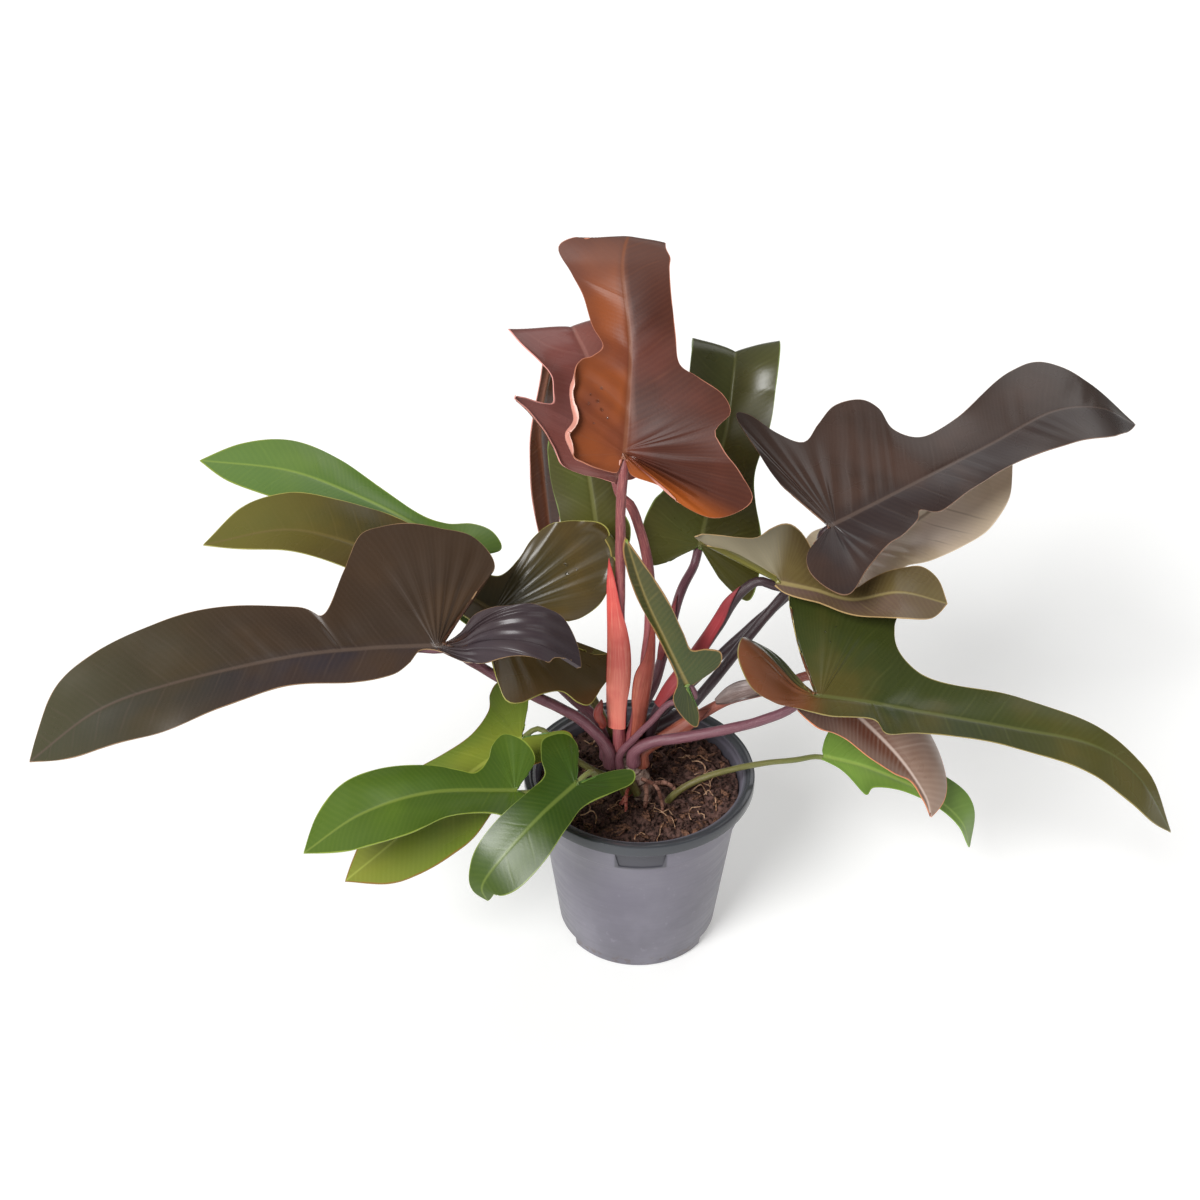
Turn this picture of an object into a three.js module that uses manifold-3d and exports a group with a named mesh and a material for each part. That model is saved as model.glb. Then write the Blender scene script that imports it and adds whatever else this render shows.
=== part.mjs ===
// A potted bronze-leaved philodendron: a nursery pot filled with soil, one short stem with aerial
// roots, and long-stalked leaves with lobed, waved and folded blades. Millimetres, +Z up; the origin is
// the centre of the pot's flat underside, and -Y is the front.
import * as THREE from 'three';
import { mergeVertices } from 'three/addons/utils/BufferGeometryUtils.js';
import Module from 'manifold-3d';

const wasm = await Module();
wasm.setup();

// Clearance between neighbouring solids
const GAP = 0.35;

// Pot: a 17 cm moulded nursery pot
const POT_HEIGHT = 143.5;
const RIM_RADIUS = 85;
const RIM_SKIRT = 8.5;
const RIM_LIP = 5.5;
const BAND_HEIGHT = 21;
const BAND_STEP = 2.4;
const BASE_RADIUS = 59;
const WALL_FLARE = 0.125;
const WALL = 1.8;
const FLOOR = 3;
const FOOT_HEIGHT = 10;
const FOOT_WIDTH = 9;
const POT_SIDES = 48;
const NOTCH = { height: 8, depth: 6, spread: 34, angles: [90, 202, 338] };
const DRAIN = { radius: 4, ring: 32, count: 6, sides: 12 };
const TAB = { top: 41, bottom: 31, depth: 1.1, lift: 2, angles: [250, 290] };
const ARC_STEPS = 8;
const CUT_MARGIN = 1;
const EDGE = 0.6;
const FOOT_EDGE = 1.8;

// Soil, a little below the rim
const SOIL_TOP = 129;
const SOIL_RELIEF = 2.2;
const SOIL_SIDES = 40;
const SOIL_RINGS = 6;

// Stem: short and leaning a little, with rings where old leaves stood
const STEM_LINE = [[6, -8, 116], [0, -7, 136], [-10, -6, 159], [-10, -6, 172]];
const STEM_RADIUS = 9.5;
const STEM_RING = 0.4;
const STEM_RINGS = 4;
const STEM_SIDES = 16;
const STEM_STEP = 3.2;
const ROOT_RADIUS = 1.7;
const ROOT_SIDES = 6;
const ROOT_STEP = 9;
const AERIAL_ROOTS = [
  [[0, -9, 133], [-10, -18, 132], [-14, -23, 127], [-15, -24, 121]],
  [[4, -9, 140], [5, -22, 138], [4, -27, 131], [4, -28, 121]],
  [[8, -5, 134], [20, -7, 136], [27, -9, 130], [28, -10, 121]],
];

// Leaf blades and stalks
const BLADE_HALF_THICKNESS = 0.4;
const BLADE_COLUMNS = 3;
const SHEATH_COLUMNS = 4;
const ROW_LENGTH = 24;
const FOOT_STEP = 6;
const VEIN_SLANT = 0.7;
const LOBE_REACH = 0.3;
const LOBE_STEPS = 12;
const BEND_START = -0.25;
const SPINE_STEPS = 160;
const STALK_SIDES = 7;
const STALK_STEP = 20;
const STALK_RADIUS = [4.2, 3.2];
const THIN_STALK_RADIUS = [2.6, 1.9];
const STALK_APPROACH = 14;
const STALK_END = 6;
const SEAT_LENGTH = 12;
const SEAT_LEAN = 1;
const SEAT_GAP = 0.1;
const SHEATH_STATIONS = [0, 0.125, 0.25, 0.375, 0.5, 0.625, 0.75, 0.875, 1];
const SHEATH_CLEARANCE = 0.7;
const LEAN_POWER = 3;
const LEAN_LIFT = 0.25;
const FLAT = [0, 0];
const BLADE_ROUGHNESS = 0.32;
const STALK_ROUGHNESS = 0.4;

// Each leaf: the midrib's points in space, where the upper face looks at its base, and each half's
// outline as pressed flat, in [along the midrib, out from it], from the notch at the stalk to the tip.
// fold and curl bend a half, in degrees at the midrib and in degrees over 100 mm out, at even stations
// from the back of the lobes to the tip. nape is the slope of the lobe behind the stalk, in degrees, at
// even stations along it. seat is where the stalk leaves the stem, as an angle and a height, and stalk
// holds the stalk's points from there.
const LEAVES = {
  crown: {
    spine: [[-13, 5, 404], [-11, 18, 427], [-9, 47, 463], [-14, 82, 502], [-10, 104, 515],
      [-14, 122, 478], [-18, 138, 415]],
    face: [-0.13, -1, 0.35],
    left: [[-3, 3], [-11, 4], [-9, 15], [-6, 25], [-3, 33], [5, 39], [12, 41], [21, 36], [37, 39],
      [48, 38], [62, 32], [66, 25], [74, 18], [90, 24], [112, 28], [126, 35], [138, 46], [147, 34],
      [156, 25], [170, 22], [200, 20], [235, 11]],
    right: [[-3, 3], [-12, 6], [-18, 26], [-30, 43], [-35, 64], [-23, 85], [-7, 78], [12, 63], [20, 58],
      [31, 67], [43, 61], [53, 44], [61, 32], [78, 30], [99, 30], [123, 31], [137, 31], [148, 26],
      [162, 24], [202, 22], [236, 12]],
    fold: { left: [0, 5, 10, 5, 0, -5, -11, -22, 4, 4, 0], right: [0, 5, 0, 0, 8, 0] },
    curl: { left: [-20, 45, 30, 0, 0, 0], right: [-20, 0, 0, -10, -150, -120] },
    stalk: [[-14.5, -10.5, 172.4], [-15, -10.5, 184], [-16, -8, 212], [-15.6, -4, 262], [-15, 0, 321],
      [-15, 2, 369]],
    colour: 0x7a4a38, stalkColour: 0x8a4a5e,
  },
  crown_left: {
    spine: [[-17, 22, 378], [-27, 34, 411], [-35, 50, 445], [-43, 62, 460], [-50, 80, 460],
      [-63, 97, 424], [-71, 103, 378], [-70, 107, 335], [-67, 113, 289], [-65, 121, 249]],
    face: [0.42, -1, 0.3],
    left: [[-3, 3], [5, 14], [11, 24], [21, 35], [33, 39], [43, 43], [56, 51], [67, 60], [65, 52],
      [60, 42], [58, 33], [65, 31], [77, 30], [90, 35], [101, 43], [112, 44], [124, 34], [138, 18],
      [152, 8], [175, 5], [200, 6], [230, 9], [275, 11], [320, 7]],
    right: [[-2, 4], [-4, 12], [6, 26], [22, 33], [40, 36], [62, 32], [85, 24], [108, 22], [124, 20],
      [140, 15], [165, 13], [225, 13], [275, 13], [320, 7]],
    fold: { left: [0, 0, 13, 10, 8, 8], right: [0, 0, 0, 8, 8, 8] },
    stalk: [[-5.5, -10.5, 172.4], [-5.5, -10.5, 182], [-2, -8, 205], [2.5, -4, 238], [5.5, 0, 275],
      [5, 8, 310], [-1, 16, 338], [-9, 20, 359]],
    colour: 0x6d4034, stalkColour: 0xa85260,
  },
  big_left: {
    spine: [[-132, -60, 299], [-181, -62, 298], [-233, -68, 295], [-307, -82, 284], [-356, -92, 269],
      [-404, -100, 233]],
    face: [-0.05, -0.45, 0.9],
    left: [[-4, 1], [-15, -7], [-29, -12], [-45, -12], [-58, -10], [-72, -10], [-82, -8], [-94, -6],
      [-101, 0], [-106, 9], [-108, 18], [-108, 28], [-102, 25], [-95, 25], [-87, 27], [-83, 31],
      [-77, 30], [-69, 28], [-60, 27], [-49, 27], [-37, 26], [-15, 15], [0, 5], [14, 3], [22, 13],
      [34, 21], [60, 24], [106, 21], [147, 26], [198, 32], [251, 22]],
    right: [[-2, 4], [-23, 40], [-35, 60], [-21, 82], [2, 90], [23, 95], [39, 93], [53, 86], [63, 61],
      [76, 28], [93, 37], [150, 49], [190, 46], [226, 41], [263, 29]],
    nape: { left: [0, 60, 35, 5, -40] },
    seat: { angle: 216, height: 160 },
    stalk: [[-26, -14, 180], [-41, -16, 201], [-57, -20, 216], [-77, -26, 233], [-97, -31, 250],
      [-108, -33, 260], [-119, -43, 277]],
    colour: 0x4b3f3a, stalkColour: 0x5b3f47,
  },
  big_right: {
    spine: [[128, 25, 338], [194, 60, 354], [248, 95, 363], [297, 125, 373], [336, 140, 368],
      [368, 150, 349]],
    face: [0, -0.35, 0.93],
    left: [[-1, 5], [-8, 49], [-6, 80], [-1, 116], [7, 112], [14, 88], [26, 71], [44, 79], [65, 87],
      [87, 82], [94, 68], [90, 48], [100, 32], [121, 30], [165, 38], [196, 46], [214, 49], [228, 41],
      [247, 25]],
    right: [[-4, 3], [-24, 10], [-33, 24], [-30, 42], [-20, 53], [1, 43], [24, 34], [39, 32], [54, 27],
      [61, 21], [72, 29], [102, 25], [139, 23], [167, 26], [198, 31], [234, 31], [262, 18]],
    seat: { angle: 38, height: 160 },
    stalk: [[34, 14, 188], [54, 24, 208], [76, 38, 232], [106, 50, 268], [125, 46, 300]],
    approach: 4,
    colour: 0x4a3d3b, stalkColour: 0x35242c,
  },
  low_right: {
    spine: [[117, -50, 250], [153, -55, 248], [187, -60, 244], [249, -72, 239], [299, -85, 235],
      [331, -95, 214], [356, -105, 176]],
    face: [0, -0.35, 0.93],
    left: [[-2, 4], [-8, 18], [-15, 31], [-24, 51], [-30, 64], [-32, 74], [-24, 80], [-14, 80],
      [6, 73], [18, 68], [30, 69], [39, 75], [49, 75], [48, 62], [50, 48], [58, 37], [72, 29], [92, 26],
      [127, 26], [162, 20], [206, 12], [238, 9]],
    right: [[-4, -1], [-22, -14], [-45, -22], [-64, -19], [-73, -4], [-70, 10], [-52, 20], [-30, 19],
      [-10, 13], [12, 15], [40, 13], [50, 22], [73, 17], [118, 14], [161, 18], [191, 22], [218, 22],
      [250, 14]],
    fold: { left: [22, 12, 0, 0, 0, 0] },
    curl: { right: [-260, 0, 0, 0, 0, 0] },
    nape: { left: [0, 20, 40], right: [0, 50, 50, 40, 0] },
    seat: { angle: 292, height: 165 },
    stalk: [[8, -22, 187], [28, -26, 194], [55, -33, 206], [82, -42, 222], [101, -47, 236]],
    approach: 6,
    colour: 0x3f4630, stalkColour: 0x6a4350,
  },
  back_right: {
    spine: [[43, 76, 289], [52, 94, 326], [63, 120, 366], [69, 150, 403], [70, 170, 391], [74, 192, 326]],
    face: [0, -1, 0.35],
    left: [[-2, 4], [-9, 13], [-17, 22], [-19, 34], [4, 43], [25, 40], [36, 34], [55, 30], [85, 31],
      [114, 33], [140, 33], [170, 32], [200, 28], [225, 15]],
    right: [[-2, 4], [-8, 12], [-20, 20], [-31, 44], [-4, 47], [18, 42], [42, 32], [64, 27], [94, 31],
      [114, 32], [140, 33], [170, 32], [200, 28], [225, 15]],
    fold: { left: [0, 0, 4, 12, 14, 12], right: [0, 0, 8, 25, 28, 22] },
    curl: { left: [0, 0, 0, 0, -60, -80], right: [0, 0, 0, 0, -60, -80] },
    stalk: [[-5.5, -1.5, 172.4], [-5.5, -1.5, 180], [1, 8, 193], [11, 20, 209], [20, 36, 236],
      [30, 55, 265]],
    colour: 0x3b4a22, stalkColour: 0x35242c,
  },
  far_left: {
    spine: [[-129, 62, 290], [-165, 72, 313], [-208, 84, 330], [-254, 95, 342], [-316, 100, 347]],
    face: [0.1, -0.3, 0.95],
    left: [[-4, 3], [-48, 20], [-50, 36], [-30, 46], [0, 40], [24, 34], [40, 22], [74, 20], [110, 24],
      [145, 26], [178, 17]],
    right: [[-4, 3], [-22, 24], [-10, 34], [6, 30], [22, 16], [42, 10], [74, 15], [110, 24], [145, 28],
      [178, 19]],
    seat: { angle: 141, height: 160 },
    stalk: [[-38, 20, 200], [-66, 36, 236], [-98, 52, 266]],
    colour: 0x4d7a2c, stalkColour: 0x59703c,
  },
  mid_left: {
    spine: [[-99, 15, 271], [-140, 22, 296], [-188, 30, 316], [-244, 38, 327], [-307, 42, 312]],
    face: [0, -0.35, 0.93],
    left: [[-3, 3], [-30, -4], [-57, -12], [-74, -16], [-89, -27], [-92, -12], [-87, 13], [-83, 33],
      [-74, 38], [-61, 37], [-49, 49], [-36, 69], [-26, 74], [-17, 63], [-7, 47], [8, 24], [40, 18],
      [80, 20], [112, 20], [148, 18], [187, 13]],
    right: [[-3, 4], [-24, 12], [-41, 21], [-44, 22], [-50, 29], [-55, 42], [-55, 54], [-52, 69],
      [-46, 81], [-38, 88], [-26, 91], [-12, 86], [-1, 78], [6, 69], [10, 56], [10, 42], [12, 29],
      [17, 22], [28, 20], [50, 24], [80, 29], [105, 32], [138, 31], [167, 32], [198, 24]],
    fold: { left: [20, 20, 10, 0, 0, 0], right: [45, 40, 10, 0, 0, 0] },
    seat: { angle: 178, height: 160 },
    stalk: [[-33, 0, 192], [-48, 2, 207], [-66, 6, 226], [-84, 10, 248]],
    colour: 0x6a5a20, stalkColour: 0x5b3f47,
  },
  front_left: {
    spine: [[-86, -72, 185], [-144, -85, 194], [-191, -95, 183], [-231, -103, 155]],
    face: [0, -0.3, 0.95],
    left: [[-3, 3], [-26, 18], [-22, 34], [0, 30], [16, 19], [48, 20], [82, 28], [123, 22]],
    right: [[-2, 4], [-14, 20], [-8, 34], [6, 40], [15, 33], [19, 22], [28, 13], [39, 15], [64, 22],
      [90, 28], [115, 28], [141, 19]],
    fold: { right: [30, 5, 0] },
    seat: { angle: 234, height: 136 },
    stalk: [[-34, -34, 160], [-58, -52, 173]],
    thin: true,
    colour: 0x4a7a2e, stalkColour: 0x7f8a4a,
  },
  under_left: {
    spine: [[-85, -12, 183], [-132, -42, 164], [-174, -64, 132], [-210, -78, 105]],
    face: [-0.2, -0.3, 0.93],
    left: [[-3, 3], [-26, 16], [-26, 28], [-8, 30], [14, 24], [36, 32], [67, 44], [91, 42], [116, 35],
      [137, 24]],
    right: [[-3, 3], [-24, 28], [-16, 52], [-4, 48], [6, 35], [27, 27], [53, 28], [80, 33], [110, 30],
      [140, 18]],
    seat: { angle: 196, height: 130 },
    stalk: [[-32, -14, 153], [-56, -13, 173]],
    thin: true,
    colour: 0x7f9430, stalkColour: 0x8a8a50,
  },
  front: {
    spine: [[-45, -75, 194], [-69, -98, 185], [-93, -116, 166], [-108, -124, 146], [-105, -126, 133]],
    face: [0, -0.45, 0.9],
    left: [[-3, 3], [-20, 9], [-34, 20], [-28, 27], [-12, 22], [9, 16], [27, 19], [55, 24], [82, 22],
      [103, 10]],
    right: [[-3, 3], [-20, 18], [-22, 32], [-8, 40], [4, 30], [12, 19], [28, 18], [57, 20], [83, 18],
      [101, 9]],
    seat: { angle: 264, height: 137 },
    stalk: [[-14, -34, 156], [-29, -55, 176]],
    thin: true,
    colour: 0x4a7a2e, stalkColour: 0xa39f78,
  },
  shoot_right: {
    spine: [[135, 0, 156], [168, -8, 151], [212, -18, 134], [236, -24, 114], [245, -26, 90]],
    face: [0, -0.35, 0.93],
    left: [[-2, 4], [-2, 15], [1, 25], [8, 31], [15, 28], [21, 21], [30, 20], [45, 20], [64, 21],
      [92, 22], [112, 21], [128, 13]],
    right: [[-1, 3], [10, 6], [18, 10], [36, 22], [41, 14], [58, 8], [78, 6], [104, 5], [125, 4]],
    stalk: [[18, -19, 118], [22, -19, 131], [32, -19, 142], [47, -16, 149], [66, -12, 153],
      [90, -7, 155], [115, -3, 155]],
    approach: 4,
    thin: true,
    colour: 0x4f9a35, stalkColour: 0x6c6f3a,
  },
  hanging_right: {
    spine: [[129, -20, 232], [157, -26, 208], [183, -34, 182], [202, -42, 155], [208, -46, 137]],
    face: [0.1, -0.95, 0.35],
    left: [[-3, 4], [-16, 26], [4, 34], [20, 30], [34, 30], [58, 38], [86, 40], [104, 30], [118, 16]],
    right: [[-3, 4], [-16, 26], [4, 32], [20, 24], [34, 20], [56, 18], [78, 12], [94, 4], [112, 3]],
    fold: { left: [0, 0], right: [20, 20] },
    curl: { left: [0, -120, -200, -240], right: [120, 160, 160] },
    seat: { angle: 326, height: 160 },
    stalk: [[25, -14, 190], [43, -12, 204], [64, -12, 218], [98, -14, 230]],
    colour: 0x7d5646, stalkColour: 0xc4553a,
  },
  under_right: {
    spine: [[151, 55, 289], [192, 82, 301], [235, 112, 314], [278, 138, 323]],
    face: [0, -0.35, 0.93],
    left: [[-3, 4], [-22, 26], [-6, 38], [14, 32], [28, 26], [44, 32], [71, 37], [101, 37], [131, 25]],
    right: [[-3, 4], [-22, 26], [-6, 38], [14, 32], [28, 26], [44, 32], [71, 37], [101, 37],
      [131, 25]],
    seat: { angle: 74, height: 160 },
    stalk: [[14, 21, 178], [34, 34, 193], [62, 49, 214], [92, 60, 240], [126, 62, 272]],
    colour: 0x5a5030, stalkColour: 0x35242c,
  },
  mid_right: {
    spine: [[93, 4, 306], [118, 2, 301], [144, -1, 295], [177, 2, 299], [211, 4, 288]],
    face: [0, -0.35, 0.93],
    left: [[-2, 4], [-20, 10], [-36, 14], [-52, 15], [-61, 18], [-50, 23], [-33, 25], [-20, 28],
      [-12, 36], [-3, 42], [6, 42], [16, 36], [30, 20], [46, 10], [56, 9], [68, 14], [88, 21], [103, 26],
      [116, 18]],
    right: [[-2, 3], [6, 7], [18, 9], [38, 10], [50, 12], [60, 15], [84, 22], [108, 17]],
    fold: { left: [25, 20, 0, 0, 0, 0], right: [-30, -20, 0, 0, 0, 0] },
    seat: { angle: 2, height: 160 },
    stalk: [[12, -6, 202], [21, -6, 221], [36, -2, 242], [54, 3, 271], [68, 6, 296], [80, 7, 305]],
    approach: 2,
    colour: 0x5e5a34, stalkColour: 0x3b2830,
  },
  young: {
    spine: [[31, -28, 243], [17, -25, 274], [1, -18, 310], [-12, -10, 351]],
    face: [-0.3, -0.9, 0.5],
    left: [[-3, 2], [-14, 1], [-26, 2], [-34, 7], [-28, 11], [-15, 14], [-4, 13], [4, 6], [15, 4],
      [48, 4], [81, 6], [108, 5]],
    right: [[-2, 4], [6, 26], [16, 32], [22, 24], [25, 14], [40, 14], [65, 14], [86, 10]],
    fold: { left: [20, 40, 40] },
    seat: { angle: 250, height: 160 },
    stalk: [[-4, -23, 192], [8, -24, 208], [20, -25, 224]],
    thin: true,
    colour: 0x3f5a34, stalkColour: 0x8a4a50,
  },
  back: {
    spine: [[-30, 60, 305], [-34, 72, 331], [-40, 92, 368], [-42, 112, 395], [-44, 132, 360]],
    face: [0, -1, 0.35],
    left: [[-3, 4], [-5, 14], [8, 24], [22, 25], [42, 27], [60, 27], [74, 25], [92, 15], [120, 9],
      [138, 5]],
    right: [[-3, 4], [-10, 18], [6, 24], [27, 18], [59, 20], [90, 20], [120, 15], [138, 8]],
    stalk: [[-14.5, -1.5, 172.4], [-14.5, -1.5, 182], [-13, 11, 200], [-13, 32, 236], [-21, 47, 276]],
    colour: 0x4a6a2a, stalkColour: 0x4a3238,
  },
};

// Sheaths: pointed coloured scales that wrap the stalks. reach is the stretch of the stalk, as parts of
// its length, face is where the back of the scale looks, left and right are its widths at even stations,
// and lean is how far its tip stands off to the side.
const SHEATHS = {
  sheath_tall: {
    stalk: 'crown', reach: [0.085, 0.67], face: [-0.15, -1, 0.1], left: [8, 9, 9, 8, 7, 6, 4],
    right: [5.5, 7, 11, 11, 8, 4, 2], curl: -620, lean: -7, colour: 0xe86a5a,
  },
  sheath_side: {
    stalk: 'crown_left', reach: [0.06, 0.52], face: [0.5, -1, 0.1], left: [5, 6, 9, 9, 4, 2],
    right: [8, 10, 11, 8, 5, 3], curl: -700, lean: -1.5, colour: 0xe4705f,
  },
  sheath_red: {
    stalk: 'mid_right', reach: [0.27, 0.84], face: [-0.6, -0.7, 0.5], left: [3, 6, 6, 5, 4],
    right: [3, 6, 7, 5, 4], curl: -800, lean: -2, colour: 0xc03540,
  },
  sheath_back: {
    stalk: 'back_right', reach: [0.4, 0.7], face: [-0.5, -1, 0.2], left: [2, 4, 4, 2],
    right: [2, 4, 4, 2], curl: -900, lean: 0, colour: 0xb83848,
  },
  sheath_low: {
    stalk: 'hanging_right', reach: [0.17, 0.44], face: [0, -0.7, 0.7], left: [4, 6, 6, 4],
    right: [4, 6, 6, 4], curl: -900, lean: 0, colour: 0xc4553a,
  },
  scale_dry: {
    stalk: 'hanging_right', reach: [0.47, 0.76], face: [-0.2, -0.3, 0.9], left: [2, 7, 8, 4],
    right: [2, 10, 13, 5], curl: 500, lean: 0, colour: 0x6e5a52,
  },
};

function radians(degrees) {
  return degrees * Math.PI / 180;
}

function toVector(point) {
  return new THREE.Vector3(...point);
}

function namedMesh(name, geometry, colour, roughness) {
  const material = new THREE.MeshStandardMaterial({ color: colour, roughness, metalness: 0 });
  const mesh = new THREE.Mesh(geometry, material);
  mesh.name = name;
  return mesh;
}

function meshGeometry(points, triangles) {
  const geometry = new THREE.BufferGeometry();
  geometry.setAttribute('position', new THREE.Float32BufferAttribute(points.flatMap((p) => [...p]), 3));
  geometry.setIndex(triangles.flat());
  return geometry;
}

// Joins and cuts
function toSolid(geometry) {
  const plain = geometry.clone();
  plain.deleteAttribute('normal');
  plain.deleteAttribute('uv');
  const merged = mergeVertices(plain, 1e-4);
  return new wasm.Manifold(new wasm.Mesh({
    numProp: 3,
    vertProperties: Float32Array.from(merged.attributes.position.array),
    triVerts: Uint32Array.from(merged.index.array),
  }));
}

function fromSolid(solid) {
  const mesh = solid.getMesh();
  const geometry = new THREE.BufferGeometry();
  geometry.setAttribute('position', new THREE.BufferAttribute(mesh.vertProperties, 3));
  geometry.setIndex(new THREE.BufferAttribute(mesh.triVerts, 1));
  return geometry;
}

function without(geometry, cutters) {
  return fromSolid(cutters.reduce((left, cutter) => left.subtract(toSolid(cutter)), toSolid(geometry)));
}

function smoothLine(points) {
  return new THREE.CatmullRomCurve3(points.map(toVector), false, 'centripetal');
}

// A round bar along a curve: rings of points with a cap at each end
function tube(curve, radiusAt, sides, step) {
  const steps = Math.max(3, Math.round(curve.getLength() / step));
  const frames = curve.computeFrenetFrames(steps, false);
  const rings = [];
  for (let i = 0; i <= steps; i += 1) {
    const centre = curve.getPointAt(i / steps);
    for (let k = 0; k < sides; k += 1) {
      const turn = 2 * Math.PI * k / sides;
      rings.push(centre.clone()
        .addScaledVector(frames.normals[i], radiusAt(i / steps) * Math.cos(turn))
        .addScaledVector(frames.binormals[i], radiusAt(i / steps) * Math.sin(turn)));
    }
  }
  const triangles = [];
  for (let i = 0; i < steps; i += 1) {
    for (let k = 0; k < sides; k += 1) {
      const a = i * sides + k;
      const b = i * sides + (k + 1) % sides;
      triangles.push([a, b, b + sides], [a, b + sides, a + sides]);
    }
  }
  const last = steps * sides;
  for (let k = 1; k < sides - 1; k += 1) {
    triangles.push([0, k + 1, k], [last, last + k, last + k + 1]);
  }
  return meshGeometry(rings, triangles);
}

// Pot: one moulded wall with a rolled rim, notches round its foot and drain holes
function wallRadius(height) {
  return BASE_RADIUS + WALL_FLARE * height;
}

function potProfile() {
  const skirt = POT_HEIGHT - RIM_SKIRT;
  const band = skirt - BAND_HEIGHT;
  const bandRadius = wallRadius(band) + BAND_STEP;
  const lip = RIM_RADIUS - RIM_LIP;
  const outside = [[0, 0], [BASE_RADIUS - FOOT_EDGE, 0], [BASE_RADIUS, FOOT_EDGE],
    [wallRadius(band), band], [bandRadius, band + EDGE], [bandRadius + EDGE, POT_HEIGHT - WALL - EDGE]];
  const rim = [[RIM_RADIUS - WALL, POT_HEIGHT - WALL], [RIM_RADIUS - WALL, skirt], [RIM_RADIUS, skirt],
    [RIM_RADIUS, POT_HEIGHT - EDGE], [RIM_RADIUS - EDGE, POT_HEIGHT], [lip + EDGE, POT_HEIGHT],
    [lip, POT_HEIGHT - EDGE]];
  const inside = [[bandRadius + EDGE - WALL, skirt], [bandRadius - WALL, band + WALL],
    [wallRadius(band) - WALL, band - EDGE], [wallRadius(FOOT_HEIGHT) - WALL, FOOT_HEIGHT],
    [BASE_RADIUS - FOOT_WIDTH, FOOT_HEIGHT], [BASE_RADIUS - FOOT_WIDTH - EDGE, FLOOR], [0, FLOOR]];
  return [...outside, ...rim, ...inside];
}

function sector(inner, outer, from, to, low, high) {
  const shape = new THREE.Shape();
  shape.absarc(0, 0, outer, radians(from), radians(to), false);
  shape.absarc(0, 0, inner, radians(to), radians(from), true);
  shape.closePath();
  const geometry = new THREE.ExtrudeGeometry(shape, {
    depth: high - low, bevelEnabled: false, curveSegments: ARC_STEPS,
  });
  geometry.translate(0, 0, low);
  return geometry;
}

function potTab() {
  const skirt = POT_HEIGHT - RIM_SKIRT;
  const band = skirt - BAND_HEIGHT;
  const low = band + TAB.lift;
  const corners = [[-TAB.top, skirt], [-TAB.bottom, low], [TAB.bottom, low], [TAB.top, skirt]];
  const shape = new THREE.Shape(corners.map(([x, z]) => new THREE.Vector2(x / 2, z)));
  const block = new THREE.ExtrudeGeometry(shape, { depth: RIM_RADIUS, bevelEnabled: false });
  block.rotateX(Math.PI / 2);
  const face = wallRadius(band) + BAND_STEP - TAB.depth;
  const ring = sector(face, RIM_RADIUS - WALL, ...TAB.angles, band, skirt + CUT_MARGIN);
  return fromSolid(toSolid(block).intersect(toSolid(ring)));
}

function makePot() {
  const profile = potProfile().map(([r, z]) => new THREE.Vector2(r, z));
  const shell = new THREE.LatheGeometry([...profile, profile[0]].slice(0, -1), POT_SIDES);
  shell.rotateX(Math.PI / 2);
  const notches = NOTCH.angles.map((angle) => sector(BASE_RADIUS - NOTCH.depth, BASE_RADIUS + FOOT_WIDTH,
    angle - NOTCH.spread / 2, angle + NOTCH.spread / 2, -CUT_MARGIN, NOTCH.height));
  const drains = [];
  for (let k = 0; k < DRAIN.count; k += 1) {
    const turn = 2 * Math.PI * (k + 0.5) / DRAIN.count;
    const drain = new THREE.CylinderGeometry(DRAIN.radius, DRAIN.radius, 3 * FLOOR, DRAIN.sides);
    drain.rotateX(Math.PI / 2);
    drain.translate(DRAIN.ring * Math.cos(turn), DRAIN.ring * Math.sin(turn), FLOOR / 2);
    drains.push(drain);
  }
  return without(shell, [...notches, ...drains, potTab()]);
}

// Soil: fills the pot, with a rough top and a plain hole for everything that stands in it
function soilRelief(x, y) {
  return SOIL_RELIEF * (0.5 * Math.sin(x / 7 + 1.3 * Math.sin(y / 9)) + 0.5 * Math.cos(y / 6 + x / 15));
}

function makeSoil(holes) {
  const band = POT_HEIGHT - RIM_SKIRT - BAND_HEIGHT;
  const edge = wallRadius(band) + BAND_STEP - WALL - GAP;
  const foot = BASE_RADIUS - FOOT_WIDTH - GAP;
  const profile = [[0, FLOOR + GAP], [foot - EDGE, FLOOR + GAP], [foot, FOOT_HEIGHT + GAP],
    [wallRadius(FOOT_HEIGHT) - WALL - GAP, FOOT_HEIGHT + GAP],
    [wallRadius(band) - WALL - GAP, band - EDGE], [edge, band + WALL]];
  for (let ring = 0; ring < SOIL_RINGS; ring += 1) {
    profile.push([edge * (1 - ring / SOIL_RINGS), SOIL_TOP]);
  }
  profile.push([0, SOIL_TOP]);
  const body = new THREE.LatheGeometry(profile.map(([r, z]) => new THREE.Vector2(r, z)), SOIL_SIDES);
  body.rotateX(Math.PI / 2);
  const place = body.attributes.position;
  for (let i = 0; i < place.count; i += 1) {
    if (place.getZ(i) > SOIL_TOP - 1) {
      place.setZ(i, SOIL_TOP + soilRelief(place.getX(i), place.getY(i)));
    }
  }
  return without(body, holes);
}

// Stem with its aerial roots, which grow from it and end in the soil
function stemRadius(part) {
  return STEM_RADIUS + STEM_RING * Math.cos(2 * Math.PI * STEM_RINGS * part);
}

function stemTube(extra) {
  return tube(smoothLine(STEM_LINE), (part) => stemRadius(part) + extra, STEM_SIDES, STEM_STEP);
}

function rootTubes(extra) {
  return AERIAL_ROOTS.map((points) => tube(smoothLine(points), () => ROOT_RADIUS + extra, ROOT_SIDES,
    ROOT_STEP));
}

function makeStem() {
  const solid = rootTubes(0).reduce((whole, root) => whole.add(toSolid(root)), toSolid(stemTube(0)));
  return fromSolid(solid);
}

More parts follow.
